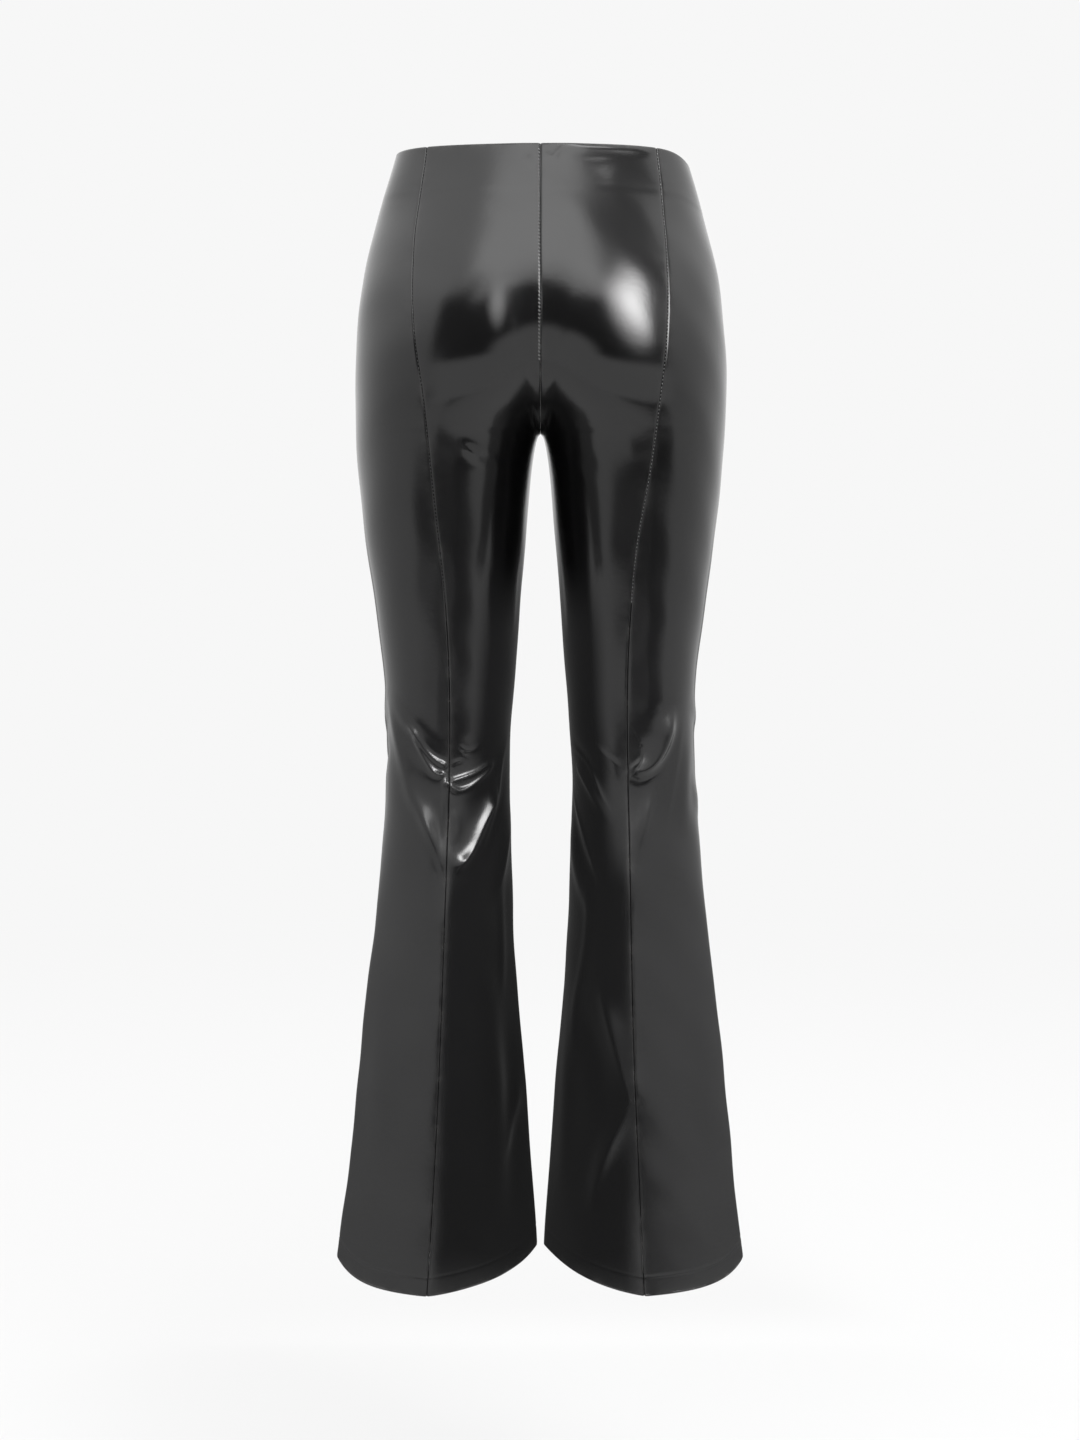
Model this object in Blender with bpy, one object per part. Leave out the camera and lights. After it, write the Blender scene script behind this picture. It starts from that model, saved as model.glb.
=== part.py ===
"""Flared leather trousers, standing in the shape of the figure that wears them.

The trousers hang from the waist: +Z is up, -Y is the wearer's front and +X the wearer's left. The origin
is the middle of the waist opening. Each leg is cut as one front, one back and one back side panel, sewn
at the side, at the inside leg, along the back princess seam and, above the crotch, at the centre seams.

Every panel is a wall lofted through the same sections, so that neighbours meet along a seam with a
hairline between them. A place on a leg is an angle and a height: 0 degrees is the side seam, 90 the middle
of the back, 180 the inside leg and -90 the middle of the front.
"""

import math

import bmesh
import bpy
import numpy as np

NAME = "flared_leather_trousers"
LEFT, RIGHT = 1, -1
BACK, FRONT = 1, -1

# Sizes, in metres.
WALL = 0.0013  # coated cloth with its knit backing
TURNED = 0.0026  # the same cloth where it is folded double
SEAM_GAP = 0.0003
HEM_DEPTH = 0.022
WAIST_TURN = 0.045
TURN_STEP = 0.001  # height over which the wall goes from single to double
CROTCH_Z = -0.261
HEM_Z = -1.030  # at the side and inside seams
HEM_BACK_DROP = 0.027  # the hem is cut lower behind the heel than at the sides
HEM_FRONT_RISE = 0.016
HEM_SLANT_FROM = -0.600  # height from which the sections start to lean towards the hem's slant
WAIST_FRONT_DROP = 0.012
WAIST_RIGHT_DROP = 0.013  # the waist edge slips down at the right side seam
WAIST_RIGHT_REACH_BACK = 21.0  # degrees from the side seam over which it does
WAIST_RIGHT_REACH_FRONT = 60.0
WAIST_SLANT_TO = -0.120  # height down to which the waist edge's slant fades
# The share of a half section's width over which the hem drops on the outer and inner side of each heel.
HEM_BACK_REACHES = {LEFT: (0.21, 0.24), RIGHT: (0.21, 0.40)}
HEM_FRONT_REACH = 0.13
CLEFT_BRIDGE = 0.030  # how far the cloth bridges the dip between the two halves of the seat
ARC_PER_DEGREE = 0.0011  # length round a leg at the knee
FOLD_FADE = 0.7  # how blunt a fold's ends are: lower is blunter
FOLD_SAMPLES = 33
# Below the knee each half section is two facets, which meet along the princess seam behind and down the
# middle in front. A rounding of 1 is a flat facet. On the right leg the inner back one is mostly round.
OUTER_FACET_ROUNDING = 1.15
INNER_FACET_ROUNDING = 1.4
INNER_FACET_SHARES = {LEFT: 1.0, RIGHT: 0.3}
FRONT_FACET_ROUNDING = 1.5
FRONT_FACET_SHARE = 0.7
SEAM_SAMPLES = 400

# Horizontal sections of one leg and its half of the body. outer and inner are the distances of the side
# and inside leg from the centre plane, y the depths: middle is the widest line, back and front the
# extremes. parted_back and parted_front say how far the body's one ring has parted into two, from 0 at
# the waist to 1 at the crotch. pinch is 0.5 for a round section and 1 for one folded at its two seams.
# turn is how far the leg's section is turned outwards, as a slope, and facet how far it is folded into facets.
SECTION_COLUMNS = ("z", "outer", "inner", "middle", "back", "front",
                   "parted_back", "parted_front", "pinch", "turn", "facet")
SECTIONS = (
    (0.020, 0.1297, 0.000, 0.000, 0.082, -0.083, 0.00, 0.00, 0.34, 0.00, 0.00),
    (-0.020, 0.1419, 0.000, 0.000, 0.094, -0.091, 0.02, 0.00, 0.36, 0.00, 0.00),
    (-0.060, 0.1533, 0.000, 0.002, 0.108, -0.098, 0.12, 0.01, 0.42, 0.00, 0.00),
    (-0.115, 0.1661, 0.000, 0.006, 0.125, -0.104, 0.32, 0.05, 0.47, 0.00, 0.00),
    (-0.170, 0.1722, 0.000, 0.010, 0.134, -0.103, 0.50, 0.16, 0.50, 0.00, 0.00),
    (-0.210, 0.1742, 0.000, 0.010, 0.131, -0.099, 0.66, 0.36, 0.50, 0.00, 0.00),
    (-0.240, 0.1740, 0.000, 0.008, 0.122, -0.096, 0.86, 0.72, 0.50, 0.01, 0.00),
    (-0.261, 0.1735, 0.000, 0.005, 0.112, -0.094, 1.00, 1.00, 0.50, 0.02, 0.00),
    (-0.304, 0.1703, 0.009, 0.002, 0.098, -0.092, 1.00, 1.00, 0.50, 0.04, 0.00),
    (-0.361, 0.1636, 0.0137, -0.001, 0.086, -0.089, 1.00, 1.00, 0.50, 0.06, 0.00),
    (-0.417, 0.1559, 0.0188, -0.004, 0.074, -0.085, 1.00, 1.00, 0.50, 0.07, 0.00),
    (-0.474, 0.1489, 0.0231, -0.008, 0.062, -0.080, 1.00, 1.00, 0.50, 0.08, 0.00),
    (-0.530, 0.1451, 0.0273, -0.011, 0.051, -0.075, 1.00, 1.00, 0.50, 0.10, 0.00),
    (-0.572, 0.1452, 0.0294, -0.012, 0.047, -0.072, 1.00, 1.00, 0.51, 0.12, 0.10),
    (-0.615, 0.1470, 0.0292, -0.011, 0.050, -0.069, 1.00, 1.00, 0.53, 0.14, 0.35),
    (-0.671, 0.1516, 0.0275, -0.008, 0.058, -0.067, 1.00, 1.00, 0.57, 0.17, 0.65),
    (-0.728, 0.1574, 0.0252, -0.006, 0.061, -0.067, 1.00, 1.00, 0.62, 0.19, 0.85),
    (-0.784, 0.1638, 0.0212, -0.004, 0.063, -0.069, 1.00, 1.00, 0.67, 0.21, 0.95),
    (-0.841, 0.1694, 0.0160, -0.003, 0.064, -0.072, 1.00, 1.00, 0.72, 0.23, 1.00),
    (-0.926, 0.1781, 0.0098, -0.002, 0.065, -0.077, 1.00, 1.00, 0.80, 0.25, 1.00),
    (-1.010, 0.1882, 0.0034, -0.002, 0.066, -0.081, 1.00, 1.00, 0.88, 0.26, 1.00),
    (-1.060, 0.1948, 0.0020, -0.002, 0.067, -0.083, 1.00, 1.00, 0.90, 0.26, 1.00),
)

# The back princess seam's distance from the centre plane on each leg.
PRINCESS_COLUMNS = ("z", "left", "right")
PRINCESS = (
    (0.020, 0.1030, 0.1055),
    (-0.020, 0.1070, 0.1090),
    (-0.060, 0.1125, 0.1125),
    (-0.115, 0.1165, 0.1155),
    (-0.170, 0.1150, 0.1150),
    (-0.240, 0.1055, 0.1075),
    (-0.304, 0.0990, 0.0990),
    (-0.361, 0.0930, 0.0890),
    (-0.417, 0.0875, 0.0835),
    (-0.474, 0.0845, 0.0805),
    (-0.572, 0.0840, 0.0805),
    (-0.671, 0.0868, 0.0825),
    (-0.784, 0.0905, 0.0845),
    (-0.926, 0.0965, 0.0895),
    (-1.060, 0.1045, 0.0955),
)

# The largest folds, each from one place on a leg to another. bow is how far its middle is pushed up,
# width how far from its line it fades, and height is below 0 for a hollow.
FOLD_COLUMNS = ("leg", "from_angle", "from_z", "to_angle", "to_z", "bow", "width", "height")
FOLDS = (
    # Behind the left knee, from the side seam down to the princess seam.
    (LEFT, 22, -0.505, 90, -0.572, 0.002, 0.0080, 0.0034),
    (LEFT, 42, -0.536, 89, -0.579, 0.003, 0.0060, -0.0026),
    (LEFT, 44, -0.546, 90, -0.592, 0.006, 0.0070, 0.0032),
    (LEFT, 10, -0.492, 64, -0.624, 0.004, 0.0090, 0.0016),
    (LEFT, 48, -0.583, 89, -0.668, 0.006, 0.0105, 0.0030),
    (LEFT, 84, -0.600, 87, -0.715, 0.000, 0.0080, -0.0020),
    # Behind the left knee, from the princess seam up to the inside leg.
    (LEFT, 98, -0.545, 127, -0.543, -0.007, 0.0065, 0.0022),
    (LEFT, 94, -0.568, 132, -0.555, -0.004, 0.0060, -0.0022),
    (LEFT, 93, -0.586, 141, -0.562, -0.007, 0.0080, 0.0036),
    (LEFT, 94, -0.606, 152, -0.575, -0.010, 0.0070, -0.0026),
    (LEFT, 93, -0.670, 148, -0.582, 0.000, 0.0090, 0.0042),
    (LEFT, 108, -0.677, 158, -0.578, -0.004, 0.0080, -0.0030),
    (LEFT, 122, -0.652, 166, -0.538, 0.005, 0.0070, 0.0024),
    (LEFT, 136, -0.712, 172, -0.606, 0.003, 0.0100, 0.0024),
    # Behind the right knee, from the side seam down to the princess seam.
    (RIGHT, 49, -0.512, 93, -0.572, -0.007, 0.0090, 0.0038),
    (RIGHT, 46, -0.530, 88, -0.588, -0.008, 0.0065, -0.0030),
    (RIGHT, 70, -0.580, 90, -0.662, 0.003, 0.0080, 0.0024),
    (RIGHT, 27, -0.545, 40, -0.640, 0.002, 0.0100, 0.0018),
    # Behind the right knee, from the princess seam up to the inside leg.
    (RIGHT, 118, -0.592, 166, -0.546, 0.002, 0.0070, -0.0026),
    (RIGHT, 112, -0.628, 158, -0.568, 0.004, 0.0065, 0.0030),
    (RIGHT, 100, -0.582, 132, -0.550, 0.000, 0.0065, 0.0016),
    (RIGHT, 119, -0.690, 168, -0.603, -0.006, 0.0075, -0.0030),
    (RIGHT, 124, -0.718, 174, -0.625, -0.004, 0.0090, 0.0022),
    # Under the seat.
    (LEFT, 100, -0.277, 124, -0.293, 0.002, 0.0080, 0.0020),
    (LEFT, 106, -0.290, 128, -0.304, 0.002, 0.0080, -0.0018),
    (RIGHT, 112, -0.296, 136, -0.285, -0.003, 0.0090, -0.0016),
    # Down the flares.
    (LEFT, 127, -0.745, 130, -1.005, 0.004, 0.0150, 0.0030),
    (LEFT, 143, -0.790, 141, -1.000, 0.000, 0.0140, -0.0026),
    (LEFT, 134, -0.940, 162, -0.860, 0.003, 0.0120, 0.0018),
    (RIGHT, 97, -0.884, 125, -0.765, 0.004, 0.0110, 0.0036),
    (RIGHT, 97, -0.876, 124, -0.995, 0.005, 0.0110, 0.0032),
    (RIGHT, 112, -0.900, 140, -0.790, 0.004, 0.0150, -0.0034),
    (RIGHT, 148, -0.990, 152, -0.740, 0.000, 0.0130, 0.0020),
    (LEFT, 34, -0.760, 46, -0.960, 0.003, 0.0170, 0.0018),
    (RIGHT, 28, -0.980, 40, -0.740, 0.000, 0.0180, 0.0016),
    # Round the side seams to the front.
    (LEFT, -38, -0.566, 14, -0.497, -0.004, 0.0085, 0.0022),
    (LEFT, -30, -0.588, 18, -0.548, -0.006, 0.0080, -0.0018),
    (RIGHT, -44, -0.548, 20, -0.508, -0.005, 0.0090, 0.0020),
    (RIGHT, -26, -0.628, 22, -0.580, -0.004, 0.0095, 0.0018),
    # Over the front: from the crotch to the hips, above the knees and down the shins.
    (LEFT, -168, -0.262, -118, -0.232, 0.004, 0.0090, 0.0030),
    (LEFT, -160, -0.286, -108, -0.268, 0.005, 0.0085, -0.0022),
    (LEFT, -150, -0.306, -92, -0.278, 0.006, 0.0100, 0.0024),
    (RIGHT, -166, -0.268, -112, -0.226, 0.005, 0.0085, 0.0028),
    (RIGHT, -158, -0.300, -100, -0.262, 0.004, 0.0100, -0.0024),
    (RIGHT, -148, -0.322, -84, -0.300, 0.006, 0.0095, 0.0018),
    (LEFT, -152, -0.520, -96, -0.546, -0.004, 0.0085, 0.0020),
    (LEFT, -134, -0.648, -62, -0.622, -0.008, 0.0100, 0.0026),
    (LEFT, -118, -0.668, -58, -0.650, -0.006, 0.0090, -0.0020),
    (RIGHT, -146, -0.536, -104, -0.552, -0.003, 0.0080, 0.0018),
    (RIGHT, -128, -0.632, -70, -0.660, -0.007, 0.0105, 0.0026),
    (RIGHT, -112, -0.654, -66, -0.684, -0.005, 0.0090, -0.0018),
    (LEFT, -104, -1.000, -112, -0.730, 0.003, 0.0160, 0.0028),
    (LEFT, -60, -0.985, -68, -0.790, 0.000, 0.0170, -0.0022),
    (RIGHT, -96, -0.995, -100, -0.750, -0.003, 0.0160, 0.0026),
    (RIGHT, -136, -0.980, -128, -0.800, 0.000, 0.0150, -0.0020),
)

# Rows of cells in each stretch of the grid, between two heights at the side seam.
ROW_STRETCHES = (
    (0.0, -WAIST_TURN, 2),
    (-WAIST_TURN, -WAIST_TURN - TURN_STEP, 1),
    (-WAIST_TURN - TURN_STEP, CROTCH_Z, 11),
    (CROTCH_Z, -0.285, 3),
    (-0.285, -0.500, 8),
    (-0.500, -0.700, 24),
    (-0.700, HEM_Z + HEM_DEPTH + TURN_STEP, 11),
    (HEM_Z + HEM_DEPTH + TURN_STEP, HEM_Z + HEM_DEPTH, 1),
    (HEM_Z + HEM_DEPTH, HEM_Z, 1),
)
CROTCH_ROW = sum(count for start, end, count in ROW_STRETCHES if end >= CROTCH_Z)

# Columns of the grid at which a leg's seams run, from the front seam round to the back seam.
FRONT_COLUMN = 0
SIDE_COLUMN = 12
PRINCESS_COLUMN = 19
BACK_COLUMN = 29
PANELS = {"front": (FRONT_COLUMN, SIDE_COLUMN),
          "back_side": (SIDE_COLUMN, PRINCESS_COLUMN),
          "back_centre": (PRINCESS_COLUMN, BACK_COLUMN)}
PRINCESS_SHARE = 0.45  # the princess seam's place between the side seam and the back seam

LEATHER_COLOUR = (0.018, 0.018, 0.019, 1.0)
LEATHER_ROUGHNESS = 0.22
SMOOTH_ANGLE = math.radians(50)


def named(table, columns):
    """A table's columns by name, from the lowest height to the highest."""
    rows = np.array(sorted(table))
    return {name: rows[:, i] for i, name in enumerate(columns)}


def natural_spline(knots, values):
    """A smooth curve through the knots, as a function that gives its value anywhere between them."""
    gaps = np.diff(knots)
    slopes = np.diff(values) / gaps
    size = len(knots)
    matrix = np.eye(size)
    right = np.zeros(size)
    for i in range(1, size - 1):
        matrix[i, i - 1:i + 2] = gaps[i - 1], 2 * (gaps[i - 1] + gaps[i]), gaps[i]
        right[i] = 6 * (slopes[i] - slopes[i - 1])
    bends = np.linalg.solve(matrix, right)

    def value(at):
        at = np.clip(at, knots[0], knots[-1])
        i = np.clip(np.searchsorted(knots, at) - 1, 0, size - 2)
        below = at - knots[i]
        above = knots[i + 1] - at
        cubic = (bends[i] * above**3 + bends[i + 1] * below**3) / (6 * gaps[i])
        start = (values[i] / gaps[i] - bends[i] * gaps[i] / 6) * above
        end = (values[i + 1] / gaps[i] - bends[i + 1] * gaps[i] / 6) * below
        return cubic + start + end

    return value


def smooth_step(share):
    share = np.clip(share, 0.0, 1.0)
    return share * share * (3 - 2 * share)


def levelling(share, reach):
    """A rise from 0 to 1 that is steep at first and levels out beyond its reach."""
    return (1 - np.exp(-share / reach)) / (1 - np.exp(-1 / reach))


def unit(vectors):
    return vectors / np.linalg.norm(vectors, axis=-1, keepdims=True)


class Sections:
    """The horizontal sections of the body and the legs, and the princess seams' places on them."""

    def __init__(self):
        table = named(SECTIONS, SECTION_COLUMNS)
        self.curves = {name: natural_spline(table["z"], table[name]) for name in SECTION_COLUMNS[1:]}
        # The inside leg starts as a round arch at the crotch, so its square is what runs smoothly.
        legs = table["z"] <= CROTCH_Z
        self.inner_squared = natural_spline(table["z"][legs], table["inner"][legs]**2)
        seams = named(PRINCESS, PRINCESS_COLUMNS)
        self.princess = {LEFT: natural_spline(seams["z"], seams["left"]),
                         RIGHT: natural_spline(seams["z"], seams["right"])}

    def half_ring(self, half, z):
        """Centre and half width of the back or front half of one leg's section."""
        outer = self.curves["outer"](z)
        parted = np.clip(self.curves["parted_back" if half == BACK else "parted_front"](z), 0.0, 1.0)
        arch = np.sqrt(np.clip(self.inner_squared(z), 0.0, None))
        inner = np.where(z > CROTCH_Z, -outer * (1 - parted) / (1 + parted), arch)
        return (outer + inner) / 2, (outer - inner) / 2

    def depth(self, half, z):
        return np.abs(self.curves["back" if half == BACK else "front"](z) - self.curves["middle"](z))

    def centre_angle(self, half, z):
        """Angle at which the section meets the centre plane, or the inside leg below the crotch."""
        centre, width = self.half_ring(half, z)
        return np.where(z > CROTCH_Z, np.degrees(np.arccos(np.clip(-centre / width, -1.0, 1.0))), 180.0)

    def princess_angle(self, leg, z):
        centre, width = self.half_ring(BACK, z)
        return np.degrees(np.arccos((self.princess[leg](z) - centre) / width))

    def points(self, leg, angle, z):
        """Points of the smooth outer surface, before any fold."""
        angle, z = np.broadcast_arrays(np.asarray(angle, float), np.asarray(z, float))
        back = self.half_points(BACK, leg, np.radians(np.abs(angle)), z)
        front = self.half_points(FRONT, leg, np.radians(np.abs(angle)), z)
        return np.where((angle >= 0)[..., None], back, front)

    def facets(self, half, leg, x, z):
        """How far the section is folded into facets there, and the facets' rise as a share of its depth."""
        centre, width = self.half_ring(half, z)
        ridge = self.princess[leg](z) if half == BACK else centre
        outer = x > ridge
        away = np.abs(x - ridge) / np.where(outer, centre + width - ridge, ridge - centre + width)
        rounding = np.where(outer, OUTER_FACET_ROUNDING, INNER_FACET_ROUNDING)
        share = np.where(outer, 1.0, INNER_FACET_SHARES[leg])
        if half == FRONT:
            rounding, share = FRONT_FACET_ROUNDING, FRONT_FACET_SHARE
        return share * np.clip(self.curves["facet"](z), 0.0, 1.0), 1 - np.clip(away, 0.0, 1.0)**rounding

    def half_points(self, half, leg, angle, z):
        centre, width = self.half_ring(half, z)
        depth = self.depth(half, z)
        pinch = self.curves["pinch"](z)
        x = centre + width * np.cos(angle)
        share, facet_rise = self.facets(half, leg, x, z)
        rise = depth * ((1 - share) * np.abs(np.sin(angle))**(2 * pinch) + share * facet_rise)
        # Above the crotch the other leg's ring stands beside this one, and the cloth bridges the dip.
        across = np.clip(1 - ((x + centre) / width)**2, 0.0, None)
        other = np.where(z > CROTCH_Z, depth * across**pinch, 0.0)
        at_centre = depth * np.clip(1 - (centre / width)**2, 0.0, None)**pinch
        parted = np.clip(centre / width, 0.0, 1.0)
        bridge = np.minimum(CLEFT_BRIDGE * smooth_step(2 * parted), 0.5 * at_centre) + 1e-9
        blend = np.clip(1 - np.abs(rise - other) / bridge, 0.0, None)
        rise = rise + np.where(other > 0, bridge / 4 * blend**2, 0.0)
        y = self.curves["middle"](z) + self.curves["turn"](z) * (x - centre) + half * rise
        return np.stack([leg * x, y, z], axis=-1)


def row_heights():
    """Heights of the grid's rows at the side seam, from the waist down."""
    heights = []
    for start, end, count in ROW_STRETCHES:
        heights += list(np.linspace(start, end, count + 1)[:-1])
    return np.array(heights + [HEM_Z])


def seam_heights(sections, half, side_heights):
    """Heights of the same rows at the centre seam: level at the waist, even along the seam's curve."""
    z = CROTCH_Z * np.linspace(0, 1, SEAM_SAMPLES)**0.5
    path = sections.points(LEFT, half * sections.centre_angle(half, z), z)
    length = np.concatenate([[0], np.cumsum(np.linalg.norm(np.diff(path, axis=0), axis=1))])
    down = -np.maximum(side_heights, CROTCH_Z)
    wanted = down + (length[-1] + CROTCH_Z) * (down / -CROTCH_Z)**2
    return np.where(side_heights > CROTCH_Z, np.interp(wanted, length, z), side_heights)


def edge_trim(leg, angle, z):
    """How far the waist edge and the hem leave their level lines."""
    front = np.clip(-np.sin(np.radians(angle)), 0.0, None)
    inwards = 1 - np.abs(np.cos(np.radians(angle)))
    behind = HEM_BACK_DROP * levelling(inwards, np.where(angle < 90, *HEM_BACK_REACHES[leg]))
    hem = np.where(angle > 0, -behind, HEM_FRONT_RISE * levelling(inwards, HEM_FRONT_REACH))
    waist = -WAIST_FRONT_DROP * front**2
    if leg == RIGHT:
        reach = np.where(angle > 0, WAIST_RIGHT_REACH_BACK, WAIST_RIGHT_REACH_FRONT)
        waist = waist - WAIST_RIGHT_DROP * np.exp(-(angle / reach)**2)
    near_waist = smooth_step(1 - z / WAIST_SLANT_TO)
    near_hem = smooth_step((z - HEM_SLANT_FROM) / (HEM_Z - HEM_SLANT_FROM))
    return waist * near_waist + hem * near_hem


def grid_places(leg, sections):
    """Angle and height of every point of a leg's grid: a row for each height, a column round the leg."""
    side = row_heights()
    front_shares = -np.linspace(1, 0, SIDE_COLUMN + 1)
    side_shares = np.linspace(0, PRINCESS_SHARE, PRINCESS_COLUMN - SIDE_COLUMN + 1)[1:]
    back_shares = np.linspace(PRINCESS_SHARE, 1, BACK_COLUMN - PRINCESS_COLUMN + 1)[1:]
    shares = np.concatenate([front_shares, side_shares, back_shares])
    centre = {half: seam_heights(sections, half, side) for half in (FRONT, BACK)}
    centre_z = np.where(shares[None, :] < 0, centre[FRONT][:, None], centre[BACK][:, None])
    z = side[:, None] + (centre_z - side[:, None]) * shares[None, :]**2

    def angles(z):
        front = shares * sections.centre_angle(FRONT, z)
        princess = sections.princess_angle(leg, z)
        beyond = (shares - PRINCESS_SHARE) / (1 - PRINCESS_SHARE)
        back = princess + beyond * (sections.centre_angle(BACK, z) - princess)
        back_side = princess * shares / PRINCESS_SHARE
        return np.where(shares < 0, front, np.where(shares < PRINCESS_SHARE, back_side, back))

    z = z + edge_trim(leg, angles(z), z)
    return angles(z), z


def normals_and_mitres(grid, leg):
    """Outward directions at a grid's points, and how much longer than a wall its corner is there."""
    mirror = np.array((-1.0, 1.0, 1.0))
    crotch = CROTCH_ROW
    before = np.concatenate([grid[:crotch, 1] * mirror, grid[crotch:, -2]])
    after = np.concatenate([grid[:crotch, -2] * mirror, grid[crotch:, 1]])
    wide = np.concatenate([before[:, None], grid, after[:, None]], axis=1)
    along = wide[1:, 1:] - wide[:-1, :-1]
    across = wide[1:, :-1] - wide[:-1, 1:]
    facets = unit(np.cross(across, along)) * leg
    facets = np.concatenate([facets[:1], facets, facets[-1:]])
    around = np.stack([facets[:-1, :-1], facets[:-1, 1:], facets[1:, :-1], facets[1:, 1:]])
    normals = unit(around.sum(axis=0))
    # On the centre plane the wall's edge stays in that plane.
    normals[:crotch + 1, [0, -1], 0] = 0
    normals[crotch, [0, -1]] = normals[crotch, 0] + normals[crotch, -1]
    normals = unit(normals)
    return normals, 1 / np.clip((around * normals).sum(axis=-1).mean(axis=0), 0.5, 1.0)


def fold_heights(leg, sections, points):
    """How far each point is moved out by the folds on its leg."""
    heights = np.zeros(points.shape[:-1])
    share = np.linspace(0, 1, FOLD_SAMPLES)
    for row in FOLDS:
        fold = dict(zip(FOLD_COLUMNS, row))
        if fold["leg"] != leg:
            continue
        round_leg = (fold["to_angle"] - fold["from_angle"]) * ARC_PER_DEGREE
        up = fold["to_z"] - fold["from_z"]
        bow = 4 * share * (1 - share) * fold["bow"] / math.hypot(round_leg, up)
        angle = fold["from_angle"] + (round_leg * share - up * bow) / ARC_PER_DEGREE
        z = fold["from_z"] + up * share + round_leg * bow
        line = sections.points(leg, angle, z)
        distance = np.linalg.norm(points[..., None, :] - line, axis=-1)
        nearest = distance.argmin(axis=-1)
        fade = np.sin(np.pi * share)**FOLD_FADE
        heights += fold["height"] * fade[nearest] * np.exp(-(distance.min(axis=-1) / fold["width"])**2)
    return heights


def wall_thickness(side_heights):
    turned = (side_heights >= -WAIST_TURN) | (side_heights <= HEM_Z + HEM_DEPTH)
    return np.where(turned, TURNED, WALL)


def seam_shift(grid, normals, leg, column, inward):
    """A step of half the seam gap from a seam into the panel beside it."""
    along = np.gradient(grid[:, column], axis=0)
    across = unit(np.cross(normals[:, column], along))
    into = grid[:, column + inward] - grid[:, column]
    shift = across * np.sign((across * into).sum(axis=-1, keepdims=True))
    if column in (FRONT_COLUMN, BACK_COLUMN):
        shift[CROTCH_ROW] = (leg, FRONT if column == FRONT_COLUMN else BACK, 0.0)
    return SEAM_GAP / 2 * shift


def leg_walls(leg, sections):
    """Outer and inner grids of a whole leg, and the outward directions between them."""
    angles, z = grid_places(leg, sections)
    smooth = sections.points(leg, angles, z)
    smooth[:CROTCH_ROW + 1, [0, -1], 0] = 0
    normals, _ = normals_and_mitres(smooth, leg)
    outer = smooth + normals * fold_heights(leg, sections, smooth)[..., None]
    normals, mitres = normals_and_mitres(outer, leg)
    inner = outer - normals * (mitres * wall_thickness(row_heights())[:, None])[..., None]
    return outer, inner, normals


def build_panel(name, leg, walls, first, last, material, collection):
    """One cut piece: the stretch of a leg's wall between two of its seams."""
    outer, inner, normals = walls
    shifts = np.zeros_like(outer)
    shifts[:, first] = seam_shift(outer, normals, leg, first, 1)
    shifts[:, last] = seam_shift(outer, normals, leg, last, -1)
    mesh = bmesh.new()
    sides = []
    for grid in (outer + shifts, inner + shifts):
        sides.append([[mesh.verts.new(point) for point in row[first:last + 1]] for row in grid])
    close_wall(mesh, *sides)
    bmesh.ops.recalc_face_normals(mesh, faces=mesh.faces)
    data = bpy.data.meshes.new(name)
    mesh.to_mesh(data)
    mesh.free()
    data.materials.append(material)
    data.shade_smooth()
    data.set_sharp_from_angle(angle=SMOOTH_ANGLE)
    panel = bpy.data.objects.new(name, data)
    collection.objects.link(panel)


def close_wall(mesh, outer, inner):
    """Faces of a wall's two sides and its rim. Both sides split each cell along the same diagonal."""
    rows = len(outer)
    columns = len(outer[0])
    for i in range(rows - 1):
        for j in range(columns - 1):
            cell = ((i, j), (i + 1, j), (i + 1, j + 1), (i, j + 1))
            corners = [outer[a][b].co for a, b in cell]
            if (corners[0] - corners[2]).length > (corners[1] - corners[3]).length:
                cell = cell[1:] + cell[:1]
            for triangle in (cell[:3], (cell[0], cell[2], cell[3])):
                mesh.faces.new([outer[a][b] for a, b in triangle])
                mesh.faces.new([inner[a][b] for a, b in reversed(triangle)])
    rim = [(0, j) for j in range(columns)] + [(i, columns - 1) for i in range(1, rows)]
    rim += [(rows - 1, j) for j in reversed(range(columns - 1))]
    rim += [(i, 0) for i in reversed(range(1, rows - 1))]
    for (a, b), (c, d) in zip(rim, rim[1:] + rim[:1]):
        mesh.faces.new((outer[a][b], outer[c][d], inner[c][d], inner[a][b]))


def leather_material(name):
    material = bpy.data.materials.new(name)
    material.use_nodes = True
    shader = material.node_tree.nodes["Principled BSDF"]
    shader.inputs["Base Color"].default_value = LEATHER_COLOUR
    shader.inputs["Roughness"].default_value = LEATHER_ROUGHNESS
    shader.inputs["Metallic"].default_value = 0.0
    return material


def main():
    for old in list(bpy.data.objects):
        bpy.data.objects.remove(old, do_unlink=True)
    collection = bpy.data.collections.new(NAME)
    bpy.context.scene.collection.children.link(collection)
    sections = Sections()
    for leg, side in ((LEFT, "left"), (RIGHT, "right")):
        walls = leg_walls(leg, sections)
        for panel, (first, last) in PANELS.items():
            name = f"{panel}_{side}"
            material = leather_material(f"{name}_leather")
            build_panel(name, leg, walls, first, last, material, collection)


main()
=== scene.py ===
"""Looks of the flared leather trousers: the cloth of each panel, its creases, seams and stitches, and the
studio.

Everything but the tables of folds and creases is in metres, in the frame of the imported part: +Z up, -Y the
wearer's front, +X the wearer's left. A place on a leg is an angle and a height. 0 degrees is the side seam,
90 the middle of the back, 180 the inside leg and -90 the middle of the front.
"""

import math

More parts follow.
